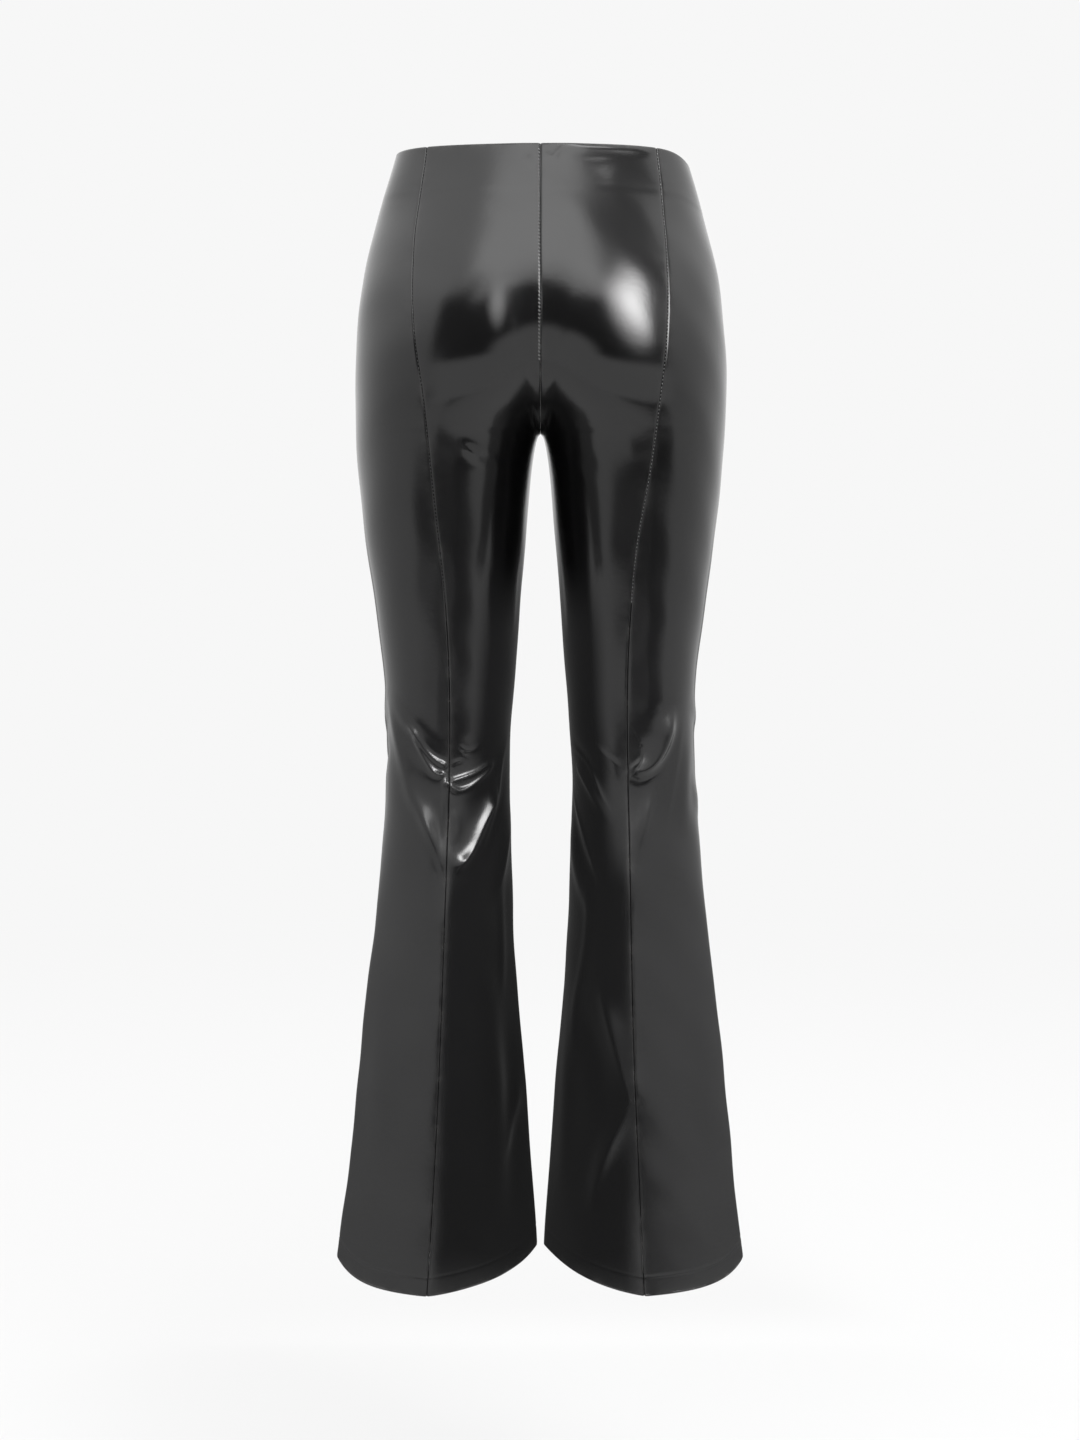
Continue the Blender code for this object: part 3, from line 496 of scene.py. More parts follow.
class Leg:
    """One leg's cloth as grids of points, with each column's distance from the seams beside it."""

    def __init__(self, leg, sections):
        self.leg = leg
        self.sections = sections
        self.side = row_heights()
        self.crotch = int(np.argmin(np.abs(self.side - CROTCH_Z)))
        self.lay_grid()
        self.fold()
        self.thicken()

    def lay_grid(self):
        centre = {half: seam_heights(self.sections, half, self.side) for half in (FRONT, BACK)}
        shares, from_seam, depths, self.columns = [], [], [], {}
        for name, (first, last) in PANEL_SHARES.items():
            rough = np.broadcast_to(np.linspace(first, last, ROUGH_COLUMNS), (len(self.side), ROUGH_COLUMNS))
            rough_places = places(self.leg, self.sections, rough, self.side, centre)
            length = lengths_along(self.sections.points(self.leg, *rough_places))
            steps = np.array(EDGE_STEPS)
            panel_shares, distances = [], []
            for row, total in enumerate(length[:, -1]):
                middle = np.linspace(steps[-1], total - steps[-1], MIDDLE_COLUMNS[name] + 1)[1:-1]
                wanted = np.concatenate([steps, middle, total - steps[::-1]])
                panel_shares.append(np.interp(wanted, length[row], rough[row]))
                distances.append(np.minimum(wanted, total - wanted))
            start = sum(block.shape[1] for block in shares)
            drop = 1 if shares else 0  # the seam's column is already there
            shares.append(np.array(panel_shares)[:, drop:])
            from_seam.append(np.array(distances)[:, drop:])
            first_half = np.arange(len(wanted)) < len(wanted) // 2
            depths.append(np.where(first_half, *GROOVE_DEPTHS[name])[drop:])
            self.columns[name] = (start - drop, start - drop + len(wanted) - 1)
        shares = np.concatenate(shares, axis=1)
        self.from_seam = np.concatenate(from_seam, axis=1)
        self.groove_depths = np.concatenate(depths)
        grid_places = places(self.leg, self.sections, shares, self.side, centre)
        self.smooth = self.sections.points(self.leg, *grid_places)
        self.smooth[:self.crotch + 1, [0, -1], 0] = 0
        down = lengths_along(np.swapaxes(self.smooth, 0, 1)).T
        self.from_waist = down
        self.from_hem = down[-1] - down
        self.across = lengths_along(self.smooth)

    def normals(self, grid):
        """Outward directions at the grid's points."""
        crotch = self.crotch
        before = np.concatenate([grid[:crotch, 1] * MIRROR, grid[crotch:, -2]])
        after = np.concatenate([grid[:crotch, -2] * MIRROR, grid[crotch:, 1]])
        wide = np.concatenate([before[:, None], grid, after[:, None]], axis=1)
        along = wide[1:, 1:] - wide[:-1, :-1]
        across = wide[1:, :-1] - wide[:-1, 1:]
        facets = unit(np.cross(across, along)) * self.leg
        facets = np.concatenate([facets[:1], facets, facets[-1:]])
        around = np.stack([facets[:-1, :-1], facets[:-1, 1:], facets[1:, :-1], facets[1:, 1:]])
        normals = unit(around.sum(axis=0))
        normals[:crotch + 1, [0, -1], 0] = 0
        normals[crotch, [0, -1]] = normals[crotch, 0] + normals[crotch, -1]
        return unit(normals)

    def steps_out(self, grid):
        """Steps out of the surface: its normals, but mitred at a seam and even from there to the panel."""
        steps = self.normals(grid)
        reach = len(EDGE_STEPS) - 1
        last = grid.shape[1] - 1
        above = (np.arange(len(grid)) <= self.crotch)[:, None]
        first_side, last_side = steps[:, reach].copy(), steps[:, last - reach].copy()
        for column in sorted({column for ends in self.columns.values() for column in ends}):
            # Beyond the centre plane is the other leg's mirror image, and beyond the inside leg this leg.
            before = np.where(above, first_side * MIRROR, last_side)
            after = np.where(above, last_side * MIRROR, first_side)
            if column > 0:
                before = steps[:, column - reach].copy()
            if column < last:
                after = steps[:, column + reach].copy()
            bisector = unit(before + after)
            mitre = bisector / np.clip((bisector * before).sum(axis=-1, keepdims=True), MITRE_LIMIT, None)
            for way, far in ((-1, before), (1, after)):
                for count, step in enumerate(EDGE_STEPS[:-1]):
                    if 0 <= column + way * count <= last:
                        share = step / EDGE_STEPS[-1]
                        steps[:, column + way * count] = (1 - share) * mitre + share * far
        steps[self.crotch, [0, -1]] = unit(steps[self.crotch, 0] + steps[self.crotch, -1])
        return steps

    def fold(self):
        self.straight_out = self.steps_out(self.smooth)
        height = fold_heights(self.leg, self.sections, self.smooth)
        height += crease_heights(self.leg, self.sections, self.smooth)
        height += self.waves() + self.puckers() + self.turned_edges()
        self.folded = self.smooth + self.straight_out * height[..., None]

    def waves(self):
        """Slow unevenness of the whole cloth, as worn."""
        total = sum(height * np.sin(self.smooth @ np.array(turns) + phase) for height, turns, phase in WAVES)
        return total * smooth_step(np.abs(self.smooth[..., 0]) / WAVE_FADE)

    def puckers(self):
        """Small ripples of the cloth where its seams draw it in, different on each side of a seam."""
        random = np.random.default_rng(PUCKER_SEED + self.leg)
        total = np.zeros_like(self.from_waist)
        for first, last in self.columns.values():
            middle = (first + last) // 2
            for columns in (slice(first, middle), slice(middle, last + 1)):
                along = self.from_waist[:, columns]
                for wave in PUCKER_WAVES:
                    phase, drift = random.uniform(0, 2 * math.pi, 2)
                    swell = 0.5 + 0.5 * np.sin(along / (PUCKER_SWELL * wave) + drift)
                    warp = PUCKER_DRIFT * wave * np.sin(along / (PUCKER_WARP * wave) + drift)
                    total[:, columns] += swell * np.sin(2 * math.pi * (along + warp) / wave + phase)
        near = bell(self.from_seam, PUCKER_REACH) * (1 - bell(self.from_seam, PUCKER_CLEAR))
        left = 1 - PUCKER_LOSS * smooth_step(self.from_waist / PUCKER_LOSS_BY)
        return PUCKER_HEIGHT * total * near * left

    def turned_edges(self):
        """The hem's stitching draws the cloth in, and the waist's turned-in edge shows through."""
        hem = -HEM_GROOVE * bell(self.from_hem - HEM_STITCH_UP, LINE_WIDTH)
        below = self.from_waist - WAIST_TURN
        step = smooth_step(below / (3 * LINE_WIDTH) + 0.5)
        ridge = bell(below, 2 * LINE_WIDTH) / 2
        return hem + WAIST_LINE_RISE * (ridge - step * np.exp(-below / WAIST_LINE_REACH * step))

    def thicken(self):
        """Sinks the seams into the cloth, rolls its edges and sets its other side."""
        self.out = self.steps_out(self.folded)
        groove = self.groove_depths * np.exp(-self.from_seam / GROOVE_WIDTH)
        self.outer = self.folded - self.out * groove[..., None]
        turned = 1 - smooth_step((self.from_waist - WAIST_TURN) / TURN_STEP)
        turned = turned + 1 - smooth_step((self.from_hem - HEM_DEPTH) / TURN_STEP)
        self.turned = turned > 0.5
        thickness = np.maximum(WALL + (TURNED - WALL) * turned, groove + LEAST_WALL)
        self.inner = self.folded - self.straight_out * thickness[..., None]
        # A folded edge is half a circle, and it keeps the edge's height.
        for row, other in ((0, 1), (-1, -2)):
            upwards = unit(self.folded[row] - self.folded[other])
            for side in (self.outer, self.inner):
                side[row] = side[row] - upwards * TURNED / 2

    def part(self, name):
        """The columns of a panel, with both of its seams."""
        first, last = self.columns[name]
        return slice(first, last + 1)

    def seam_shift(self, column, inward):
        """A step of half the seam gap from a seam into the panel beside it."""
        along = np.gradient(self.folded[:, column], axis=0)
        across = unit(np.cross(self.out[:, column], along))
        into = self.folded[:, column + 3 * inward] - self.folded[:, column]
        shift = across * np.sign((across * into).sum(axis=-1, keepdims=True))
        if column in (0, self.folded.shape[1] - 1):
            shift[self.crotch] = (self.leg, FRONT if column == 0 else BACK, 0.0)
        return VISIBLE_GAP / 2 * shift

    def rim(self, part, row, other, outer, inner):
        """Rows round a folded edge, from its outer to its inner side."""
        middle = (outer[row] + inner[row]) / 2
        arm = outer[row] - middle
        radius = np.linalg.norm(arm, axis=-1, keepdims=True)
        upwards = unit(self.folded[row] - self.folded[other])[part] * radius
        turns = np.linspace(0, math.pi, RIM_ROWS + 2)[1:-1]
        return [middle + arm * math.cos(turn) + upwards * math.sin(turn) for turn in turns]

    def panel_rings(self, name):
        """Rows of points round a panel's wall: down its outer side, round the hem, up and round the waist."""
        part = self.part(name)
        shifts = np.zeros_like(self.outer)
        for column, inward in zip(self.columns[name], (1, -1)):
            shifts[:, column] = self.seam_shift(column, inward)
        outer = (self.outer + shifts)[:, part]
        inner = (self.inner + shifts)[:, part]
        hem = self.rim(part, -1, -2, outer, inner)
        waist = self.rim(part, 0, 1, outer, inner)[::-1]
        return np.array(list(outer) + hem + list(inner[::-1]) + waist)


def round_wall(values):
    """Values for a panel's rings from those of its outer side, the same inside and round the folded edges."""
    hem = values[-1:].repeat(RIM_ROWS, axis=0)
    waist = values[:1].repeat(RIM_ROWS, axis=0)
    return np.concatenate([values, hem, values[::-1], waist])


def line_through(sections, leg, corners):
    """A smooth line over the leg through these places, each an angle and a height in millimetres."""
    angle, z = np.array(corners, float).T
    at = lengths_along(np.stack([angle * ARC_PER_DEGREE, z], axis=-1))
    share = np.linspace(0, at[-1], CREASE_SAMPLES)
    return sections.points(leg, natural_spline(at, angle)(share), MM * natural_spline(at, z)(share))


def nearest_on(line, points):
    """Each point's distance from a line, how far along that is, and whether the point is above it."""
    best = np.full(len(points), np.inf)
    place = np.zeros(len(points))
    above = np.zeros(len(points), bool)
    for i, (start, step) in enumerate(zip(line[:-1], np.diff(line, axis=0))):
        share = np.clip((points - start) @ step / (step @ step), 0, 1)
        distance = np.linalg.norm(points - start - share[:, None] * step, axis=-1)
        closer = distance < best
        best = np.where(closer, distance, best)
        place = np.where(closer, i + share, place)
        above = np.where(closer, points[:, 2] > start[2] + share * step[2], above)
    return best, place / (len(line) - 1), above


def add_along(heights, points, line, reach, profile):
    """Adds profile(distance, place, above) to the heights of the points within reach of a line."""
    near = ((points > line.min(axis=0) - reach) & (points < line.max(axis=0) + reach)).all(axis=-1)
    heights[near] += profile(*nearest_on(line, points[near]))


def fold_heights(leg, sections, points):
    """How far each point is moved out by the construction's folds on its leg."""
    heights = np.zeros(points.shape[:-1])
    share = np.linspace(0, 1, FOLD_SAMPLES)
    for from_angle, from_z, to_angle, to_z, bow, width, height in FOLDS[leg]:
        round_leg = (to_angle - from_angle) * ARC_PER_DEGREE
        up = to_z - from_z
        bowed = 4 * share * (1 - share) * bow / math.hypot(round_leg, up)
        angle = from_angle + (round_leg * share - up * bowed) / ARC_PER_DEGREE
        line = sections.points(leg, angle, MM * (from_z + up * share + round_leg * bowed))

        def profile(distance, place, _):
            return MM * height * np.sin(np.pi * np.clip(place, 0, 1))**FOLD_FADE * bell(distance, MM * width)

        add_along(heights, points, line, 3 * MM * width, profile)
    return heights


def crease_heights(leg, sections, points):
    """How far each point is moved out by the finer creases on its leg."""
    heights = np.zeros(points.shape[:-1])
    for lower, upper, height, sharp, rise, fall, corners in CREASES[leg]:

        def profile(distance, place, above):
            fade = smooth_step(place / rise) * smooth_step((1 - place) / fall)
            away = np.sqrt((distance / (MM * np.where(above, upper, lower)))**2 + CREST_ROUNDING)
            return MM * height * fade * np.exp(-away**sharp)

        add_along(heights, points, line_through(sections, leg, corners), 4 * MM * max(lower, upper), profile)
    return heights


# ----------------------------------------------------------------------
# Meshes.

def new_piece(name, points, faces, materials):
    data = bpy.data.meshes.new(name)
    data.from_pydata(points, [], faces)
    for material in materials:
        data.materials.append(material)
    data.shade_smooth()
    piece = bpy.data.objects.new(name, data)
    bpy.context.scene.collection.objects.link(piece)
    return piece


def build_panel(cloth, name, materials):
    """One cut piece as a closed wall of finish and backing, with its flat sizes in its UV map."""
    rings = cloth.panel_rings(name)
    count, columns = rings.shape[:2]
    rows = len(cloth.side)
    index = np.arange(count * columns).reshape(count, columns)
    faces = quads(index.T, np.roll(index, -1, axis=0).T)
    # The backing shows at the cut edges, and inside between the turned-in waist and the hem.
    backing = np.zeros((columns - 1, count), int)
    inside = rows + RIM_ROWS
    turned = cloth.turned[::-1, cloth.part(name)]
    backing[:, inside:inside + rows - 1] = ~turned[:-1, :-1].T
    # The cut edges at the two seams, and the ends of the folded edges there.
    for column, way in ((0, 1), (columns - 1, -1)):
        outer = index[:rows, column]
        inner = index[inside + rows - 1:inside - 1:-1, column]
        hem = index[rows - 1:inside + 1, column]
        waist = np.append(index[0, column], index[:count - RIM_ROWS - 2:-1, column])
        faces += [face[::way] for face in quads(outer, inner)] + [hem[::-way].tolist(), waist[::way].tolist()]
    if cloth.leg == LEFT:
        faces = [face[::-1] for face in faces]
    piece = new_piece(f"{name}_{SIDE_NAMES[cloth.leg]}_cloth", rings.reshape(-1, 3), faces, materials)
    slots = np.ones(len(faces), np.int32)
    slots[:backing.size] = backing.ravel()
    piece.data.polygons.foreach_set("material_index", slots)
    add_cloth_map(piece, cloth, cloth.part(name))
    add_wear(piece, cloth, cloth.part(name))
    return piece


def add_wear(piece, cloth, part):
    """How much each point is rubbed: 1 at a folded edge, less along the seams."""
    edges = np.exp(-np.minimum(cloth.from_hem, cloth.from_waist) / WEAR_REACH)
    wear = np.maximum(edges, SEAM_WEAR * np.exp(-cloth.from_seam / WEAR_REACH))[:, part]
    layer = piece.data.attributes.new("wear", "FLOAT", "POINT")
    layer.data.foreach_set("value", round_wall(wear).astype(np.float32).ravel())


def add_cloth_map(piece, cloth, part):
    """A UV map in metres of flat cloth, across and down from the waist."""
    across = cloth.across[:, part] - cloth.across[:, [part.start]]
    flat = round_wall(np.stack([across, -cloth.from_waist[:, part]], axis=-1)).reshape(-1, 2)
    layer = piece.data.uv_layers.new(name="cloth")
    corners = np.zeros(len(piece.data.loops), np.int32)
    piece.data.loops.foreach_get("vertex_index", corners)
    layer.data.foreach_set("uv", flat[corners].astype(np.float32).ravel())


def at_places(values, wanted):
    """Values between the rows of a list."""
    low = np.clip(np.floor(wanted).astype(int), 0, len(values) - 2)
    share = (wanted - low)[:, None]
    return values[low] * (1 - share) + values[low + 1] * share


def ball():
    """Points and faces of a ball of radius 1, with its poles on the first axis."""
    polar = np.linspace(0, math.pi, STITCH_RINGS + 2)[1:-1, None]
    turn = np.arange(STITCH_SIDES) * 2 * math.pi / STITCH_SIDES
    rings = np.broadcast_arrays(np.cos(polar), np.sin(polar) * np.cos(turn), np.sin(polar) * np.sin(turn))
    points = np.concatenate([[(1, 0, 0)], np.stack(rings, axis=-1).reshape(-1, 3), [(-1, 0, 0)]])
    index = np.arange(STITCH_RINGS * STITCH_SIDES).reshape(STITCH_RINGS, STITCH_SIDES) + 1
    closed = np.append(index, index[:, :1], axis=1)
    faces = quads(closed[:-1].T, closed[1:].T)
    faces += [(0, a, b) for a, b in zip(closed[0], closed[0, 1:])]
    faces += [(a, len(points) - 1, b) for a, b in zip(closed[-1], closed[-1, 1:])]
    return points, faces


def stitch_mesh(name, line, out, sizes, material, slant=0.0, pitch=STITCH_PITCH):
    """Stitches along a line, each a lozenge with these half sizes along, across and out of the cloth."""
    shape, shape_faces = ball()
    length = lengths_along(line)
    wanted = np.interp(np.arange(pitch / 2, length[-1], pitch), length, np.arange(len(line)))
    centres, outwards = at_places(line, wanted), unit(at_places(out, wanted))
    along = unit(at_places(np.gradient(line, axis=0), wanted))
    across = unit(np.cross(outwards, along))
    along, across = (along * math.cos(slant) + across * math.sin(slant),
                     across * math.cos(slant) - along * math.sin(slant))
    axes = np.stack([along, across, outwards], axis=1)
    points = centres[:, None] + (shape * sizes) @ axes
    faces = [[start + i for i in face] for start in range(0, len(centres) * len(shape), len(shape))
             for face in shape_faces]
    return new_piece(name, points.reshape(-1, 3), faces, [material])


def hem_stitches(cloth, material):
    """The hem's stitching, round the leg at one distance from the edge."""
    line, out = [], []
    for column in range(cloth.from_hem.shape[1]):
        row = np.interp([-HEM_STITCH_UP], -cloth.from_hem[:, column], np.arange(len(cloth.side)))
        line.append(at_places(cloth.folded[:, column], row)[0])
        out.append(at_places(cloth.out[:, column], row)[0])
    line, out = np.array(line), np.array(out)
    return stitch_mesh(f"hem_stitches_{SIDE_NAMES[cloth.leg]}", line - out * HEM_GROOVE, out, HEM_STITCH,
                       material, pitch=HEM_PITCH)


def stitched_rows(cloth, name):
    return (cloth.side < STITCHED_FROM) & (cloth.side > STITCHED_TO[name])


def seam_stitches(cloth, name, column, material):
    """A row of stitches in a seam's groove."""
    rows = stitched_rows(cloth, name)
    out = cloth.out[rows, column]
    line = cloth.folded[rows, column] - out * STITCH_DEPTH
    return stitch_mesh(f"{name}_stitches_{SIDE_NAMES[cloth.leg]}", line, out, SEAM_STITCH, material)


def rope_stitches(cloth, material):
    """The slanted stitches beside the centre back seam, where it is drawn tight."""
    rows = stitched_rows(cloth, "centre_back")
    column = cloth.columns["back_centre"][1] - ROPE_COLUMNS
    return stitch_mesh("centre_back_stitches", cloth.outer[rows, column], cloth.out[rows, column],
                       ROPE_STITCH, material, ROPE_SLANT)


def build_allowances(cloth, name, material):
    """A panel's two seam allowances: thin strips inside along its seams, from the turned waist to the hem."""
    first, last = cloth.columns[name]
    middle = (first + last) // 2
    between = (cloth.from_waist[:, middle] > WAIST_TURN) & (cloth.from_hem[:, middle] > HEM_DEPTH)
    rows, reached = [], -ALLOWANCE_STEP
    for row in np.flatnonzero(between):
        if cloth.from_waist[row, middle] - reached >= ALLOWANCE_STEP:
            rows.append(row)
            reached = cloth.from_waist[row, middle]
    points, faces = [], []
    for start, way in ((first, 1), (last, -1)):
        columns = [start + way * count for count in ALLOWANCE_COLUMNS]
        steps = cloth.straight_out[rows][:, columns]
        near = cloth.inner[rows][:, columns] - steps * ALLOWANCE_GAP
        ring = np.concatenate([near, (near - steps * ALLOWANCE_WALL)[:, ::-1]], axis=1)
        index = np.arange(ring.size // 3).reshape(ring.shape[:2]) + sum(len(block) for block in points)
        strip = quads(index, np.roll(index, -1, axis=1)) + [index[0, ::-1].tolist(), index[-1].tolist()]
        faces += [face[::way * cloth.leg] for face in strip]
        points.append(ring.reshape(-1, 3))
    return new_piece(f"{name}_{SIDE_NAMES[cloth.leg]}_allowances", np.concatenate(points), faces, [material])


# ----------------------------------------------------------------------
# Materials.

WORN_ROUGHNESS = 0.22  # how much rougher the coat is where it is rubbed through


class Nodes:
    """A node tree, whose nodes are added and linked by name."""

    def __init__(self, tree):
        self.tree = tree

    def fill(self, node, inputs):
        """Sets a node's inputs, or links them where their value comes from another node."""
        for key, value in inputs.items():
            if isinstance(value, bpy.types.NodeSocket):
                self.tree.links.new(value, node.inputs[key])
            else:
                node.inputs[key].default_value = value

    def add(self, kind, inputs=(), **settings):
        node = self.tree.nodes.new("ShaderNode" + kind)
        for key, value in settings.items():
            setattr(node, key, value)
        self.fill(node, dict(inputs))
        return node

    def place(self):
        return self.add("TexCoord").outputs["Object"]

    def cloth(self):
        return self.add("UVMap", uv_map="cloth").outputs["UV"]

    def noise(self, scale, detail=2.0, rough=0.5):
        inputs = {"Vector": self.place(), "Scale": scale, "Detail": detail, "Roughness": rough}
        return self.add("TexNoise", inputs).outputs[0]

    def ribs(self, direction, scale, distortion):
        inputs = {"Vector": self.cloth(), "Scale": scale, "Distortion": distortion, "Detail": 1.0}
        return self.add("TexWave", inputs, bands_direction=direction).outputs["Fac"]

    def math(self, operation, *values):
        return self.add("Math", dict(enumerate(values)), operation=operation).outputs[0]

    def length(self, vector):
        return self.add("VectorMath", {0: vector}, operation="LENGTH").outputs["Value"]

    def between(self, value, low=0.0, high=1.0, start=0.0, end=1.0, kind="LINEAR"):
        """low to high, where the value goes from start to end."""
        inputs = {"Value": value, "From Min": start, "From Max": end, "To Min": low, "To Max": high}
        return self.add("MapRange", inputs, interpolation_type=kind).outputs[0]

    def fade(self, value, start, end):
        """0 to 1 smoothly, where the value goes from start to end."""
        return self.between(value, start=start, end=end, kind="SMOOTHSTEP")

    def colours(self, factor, first, second):
        """Mixes a colour, or another node's, with a second one."""
        inputs = {"Factor": factor, "A": first, "B": (*second, 1)}
        if isinstance(first, tuple):
            inputs["A"] = (*first, 1)
        return self.add("Mix", inputs, data_type="RGBA").outputs[2]

    def bump(self, height, distance, under=None):
        inputs = {"Strength": 1.0, "Distance": distance, "Height": height}
        if under:
            inputs["Normal"] = under
        return self.add("Bump", inputs).outputs[0]


class Material(Nodes):
    """A new material's nodes."""

    def __init__(self, name, **values):
        self.data = bpy.data.materials.new(name)
        self.data.use_nodes = True
        super().__init__(self.data.node_tree)
        self.set(**values)

    def set(self, **values):
        """Sets the shader's inputs, named with _ for a space."""
        inputs = {key.replace("_", " "): value for key, value in values.items()}
        self.fill(self.tree.nodes["Principled BSDF"], inputs)


def coated_leather():
    """Black leather with a glossy coat: a fine grain, slight unevenness and a little duller in places."""
    leather = Material("coated_leather", IOR=1.5)
    tone = leather.noise(scale=14.0, detail=3.0)
    colour = leather.colours(tone, (0.0030, 0.0030, 0.0033), (0.0052, 0.0051, 0.0054))
    dull = leather.between(leather.noise(scale=26.0, detail=4.0, rough=0.6), low=0.16, high=0.22)
    grain = leather.add("TexVoronoi", {"Vector": leather.cloth(), "Scale": 900.0}, feature="SMOOTH_F1")
    peel = leather.bump(leather.noise(scale=150.0, detail=1.0), distance=0.000040)
    pebble = leather.bump(leather.noise(scale=330.0, detail=1.0), distance=0.000030, under=peel)
    relief = leather.bump(grain.outputs["Distance"], distance=0.000020, under=pebble)
    # The coat is rubbed along the folded edges and the seams, in places.
    edge = leather.add("Attribute", attribute_name="wear").outputs["Fac"]
    patches = leather.noise(scale=60.0, detail=3.0, rough=0.6)
    worn = leather.math("MULTIPLY", edge, leather.between(patches, start=0.40, end=0.65))
    leather.set(Base_Color=leather.colours(worn, colour, (0.030, 0.029, 0.028)), Normal=relief,
                Roughness=leather.math("MULTIPLY_ADD", worn, WORN_ROUGHNESS, dull))
    return leather.data


def knit_backing():
    """The matt knit on the cloth's inside, with fine ribs down its length."""
    knit = Material("knit_backing", Roughness=0.92, Sheen_Weight=0.25, Sheen_Roughness=0.5)
    ribs = knit.ribs("X", scale=260.0, distortion=0.6)
    loops = knit.math("MULTIPLY", ribs, knit.ribs("Y", scale=330.0, distortion=0.8))
    colour = knit.colours(loops, (0.010, 0.010, 0.011), (0.030, 0.030, 0.032))
    knit.set(Base_Color=colour, Normal=knit.bump(loops, distance=0.00025))
    return knit.data


def thread(name, dark, light):
    """Spun sewing thread: plies a little lighter and darker, half matt."""
    spun = Material(name)
    ply = spun.noise(scale=900.0)
    spun.set(Base_Color=spun.colours(ply, (dark,) * 3, (light,) * 3), Normal=spun.bump(ply, distance=0.0001),
             Roughness=spun.between(ply, low=0.35, high=0.55))
    return spun.data


# ----------------------------------------------------------------------
# Studio: camera, pale surroundings, floor and lights.

IMAGE_SIZE = (1080, 1440)
FOCAL_PIXELS = 2867.0
HORIZON_ROW = 589.0
CENTRE_COLUMN = 540.5
CAMERA_PLACE = (0.0, 2.7, -0.407)
SENSOR = 36.0
VIEW_DEPTH = 60.0

PALE = 0.930  # the surroundings' brightness, as seen
# In the leather's reflections they are lighter overhead: where this starts and ends, and both brightnesses.
SKY_FROM, SKY_TO = 0.08, 0.62
SKY_LOW, SKY_HIGH = 1.02, 2.0
FLOOR_Z = -1.300
FLOOR_RADIUS = 12
FLOOR_SIDES = 64
FLOOR_FADE = (1.0, 5.0)  # distances from its middle over which it turns into the surroundings' tone
FLOOR_COLOUR = 0.25
FLOOR_GLOW = 0.50
WHITE, BLACK = (1, 1, 1, 1), (0, 0, 0, 1)
HIPS = Vector((0.0, 0.11, -0.15))

# Soft boxes: azimuth from the camera's side towards the wearer's left, elevation, distance from the hips,
# width, height, brightness, how much brighter its top is, and the share of its half sizes that fades out.
LIGHTS = (
    ("key", -32.0, 21.0, 2.2, 1.75, 1.00, 23.0, 0.0, 0.70),
    ("top", -2.0, 47.0, 2.0, 1.70, 1.15, 3.0, -0.25, 0.45),
    ("front_top", 180.0, 50.0, 2.4, 1.60, 1.00, 3.0, 0.0, 0.5),
)
# Panels near the trousers that only the leather's gloss sees, some bright and others dark: two opposite
# corners, brightness and the share of the half sizes that fades out.
FLAGS = (
    ("seat_light", (-0.17, 0.32, -0.12), (0.2, 0.32, 0.34), 3.9, 0.6),
    ("waist_light", (-0.17, 0.2, 0.12), (-0.03, 0.2, 0.22), 9.0, 0.5),
    ("flag_seat", (-0.42, 0.3, -0.29), (0.24, 0.3, -0.058), 0.12, 0.28),
    ("flag_left_hip", (0.045, 0.29, -0.25), (0.29, 0.29, 0.02), 0.15, 0.65),
    ("flag_right_hip", (-0.85, 0.285, 0.06), (-0.1, 0.285, 0.38), 0.55, 0.45),
    ("under_seat", (-0.25, 0.165, -0.275), (0.17, 0.165, -0.2), 1.1, 0.3),
    ("hip_wall", (-0.7, 0.335, -0.25), (-0.04, 0.335, 0.4), 0.9, 0.3),
    ("knee_light", (0.02, 1.2, -0.32), (0.54, 1.2, 0.07), 6.0, 0.55),
    ("flag_thighs", (-1.55, 1.65, -1.22), (2.1, 1.65, -0.76), 0.08, 0.45),
    ("flag_between", (-0.22, 0.25, -1.08), (0.22, 0.25, -0.72), 0.45, 0.6),
    ("flag_beyond", (-0.5, -0.7, -1.29), (0.5, -0.7, -0.3), 0.2, 0.3),
    # Between the legs.
    ("flag_gap_knees", (0.0, -0.16, -0.74), (0.0, 0.095, -0.38), 0.16, 0.45),
    ("flag_gap_flares", (0.0, -0.3, -1.13), (0.0, 0.18, -0.6), 0.18, 0.35),
    ("flag_gap_thighs", (0.0, 0.076, -0.42), (0.0, 0.104, -0.27), 0.25, 0.3),
    # Just over the floor.
    ("flag_floor_side", (-2.1, 1.15, -1.29), (-0.6, 2.4, -1.29), 0.08, 0.25),
    ("flag_floor_back", (-0.8, 1.25, -1.29), (0.42, 1.75, -1.29), 0.1, 0.3),
)
# Round ones, facing backwards: centre, half length, half width, how far the length is turned up from the
# wearer's right, brightness and fade.
ROUND_FLAGS = (
    ("seat_key", (-0.196, 0.275, -0.060), 0.150, 0.118, 45.0, 22.0, 0.95),
    ("seat_tongue", (0.0325, 0.160, -0.140), 0.042, 0.018, 99.0, 4.6, 0.95),
    ("under_seat_middle", (-0.005, 0.162, -0.205), 0.055, 0.034, 0.0, 1.10, 0.50),
)


def add_camera():
    data = bpy.data.cameras.new("camera")
    long_side = max(IMAGE_SIZE)
    data.sensor_width = SENSOR
    data.lens = SENSOR * FOCAL_PIXELS / long_side
    data.shift_x = (IMAGE_SIZE[0] / 2 - CENTRE_COLUMN) / long_side
    data.shift_y = (HORIZON_ROW - IMAGE_SIZE[1] / 2) / long_side
    data.clip_end = VIEW_DEPTH
    camera = bpy.data.objects.new("camera", data)
    camera.location = CAMERA_PLACE
    camera.rotation_euler = (math.radians(90), 0, math.radians(180))
    bpy.context.scene.collection.objects.link(camera)
    bpy.context.scene.camera = camera


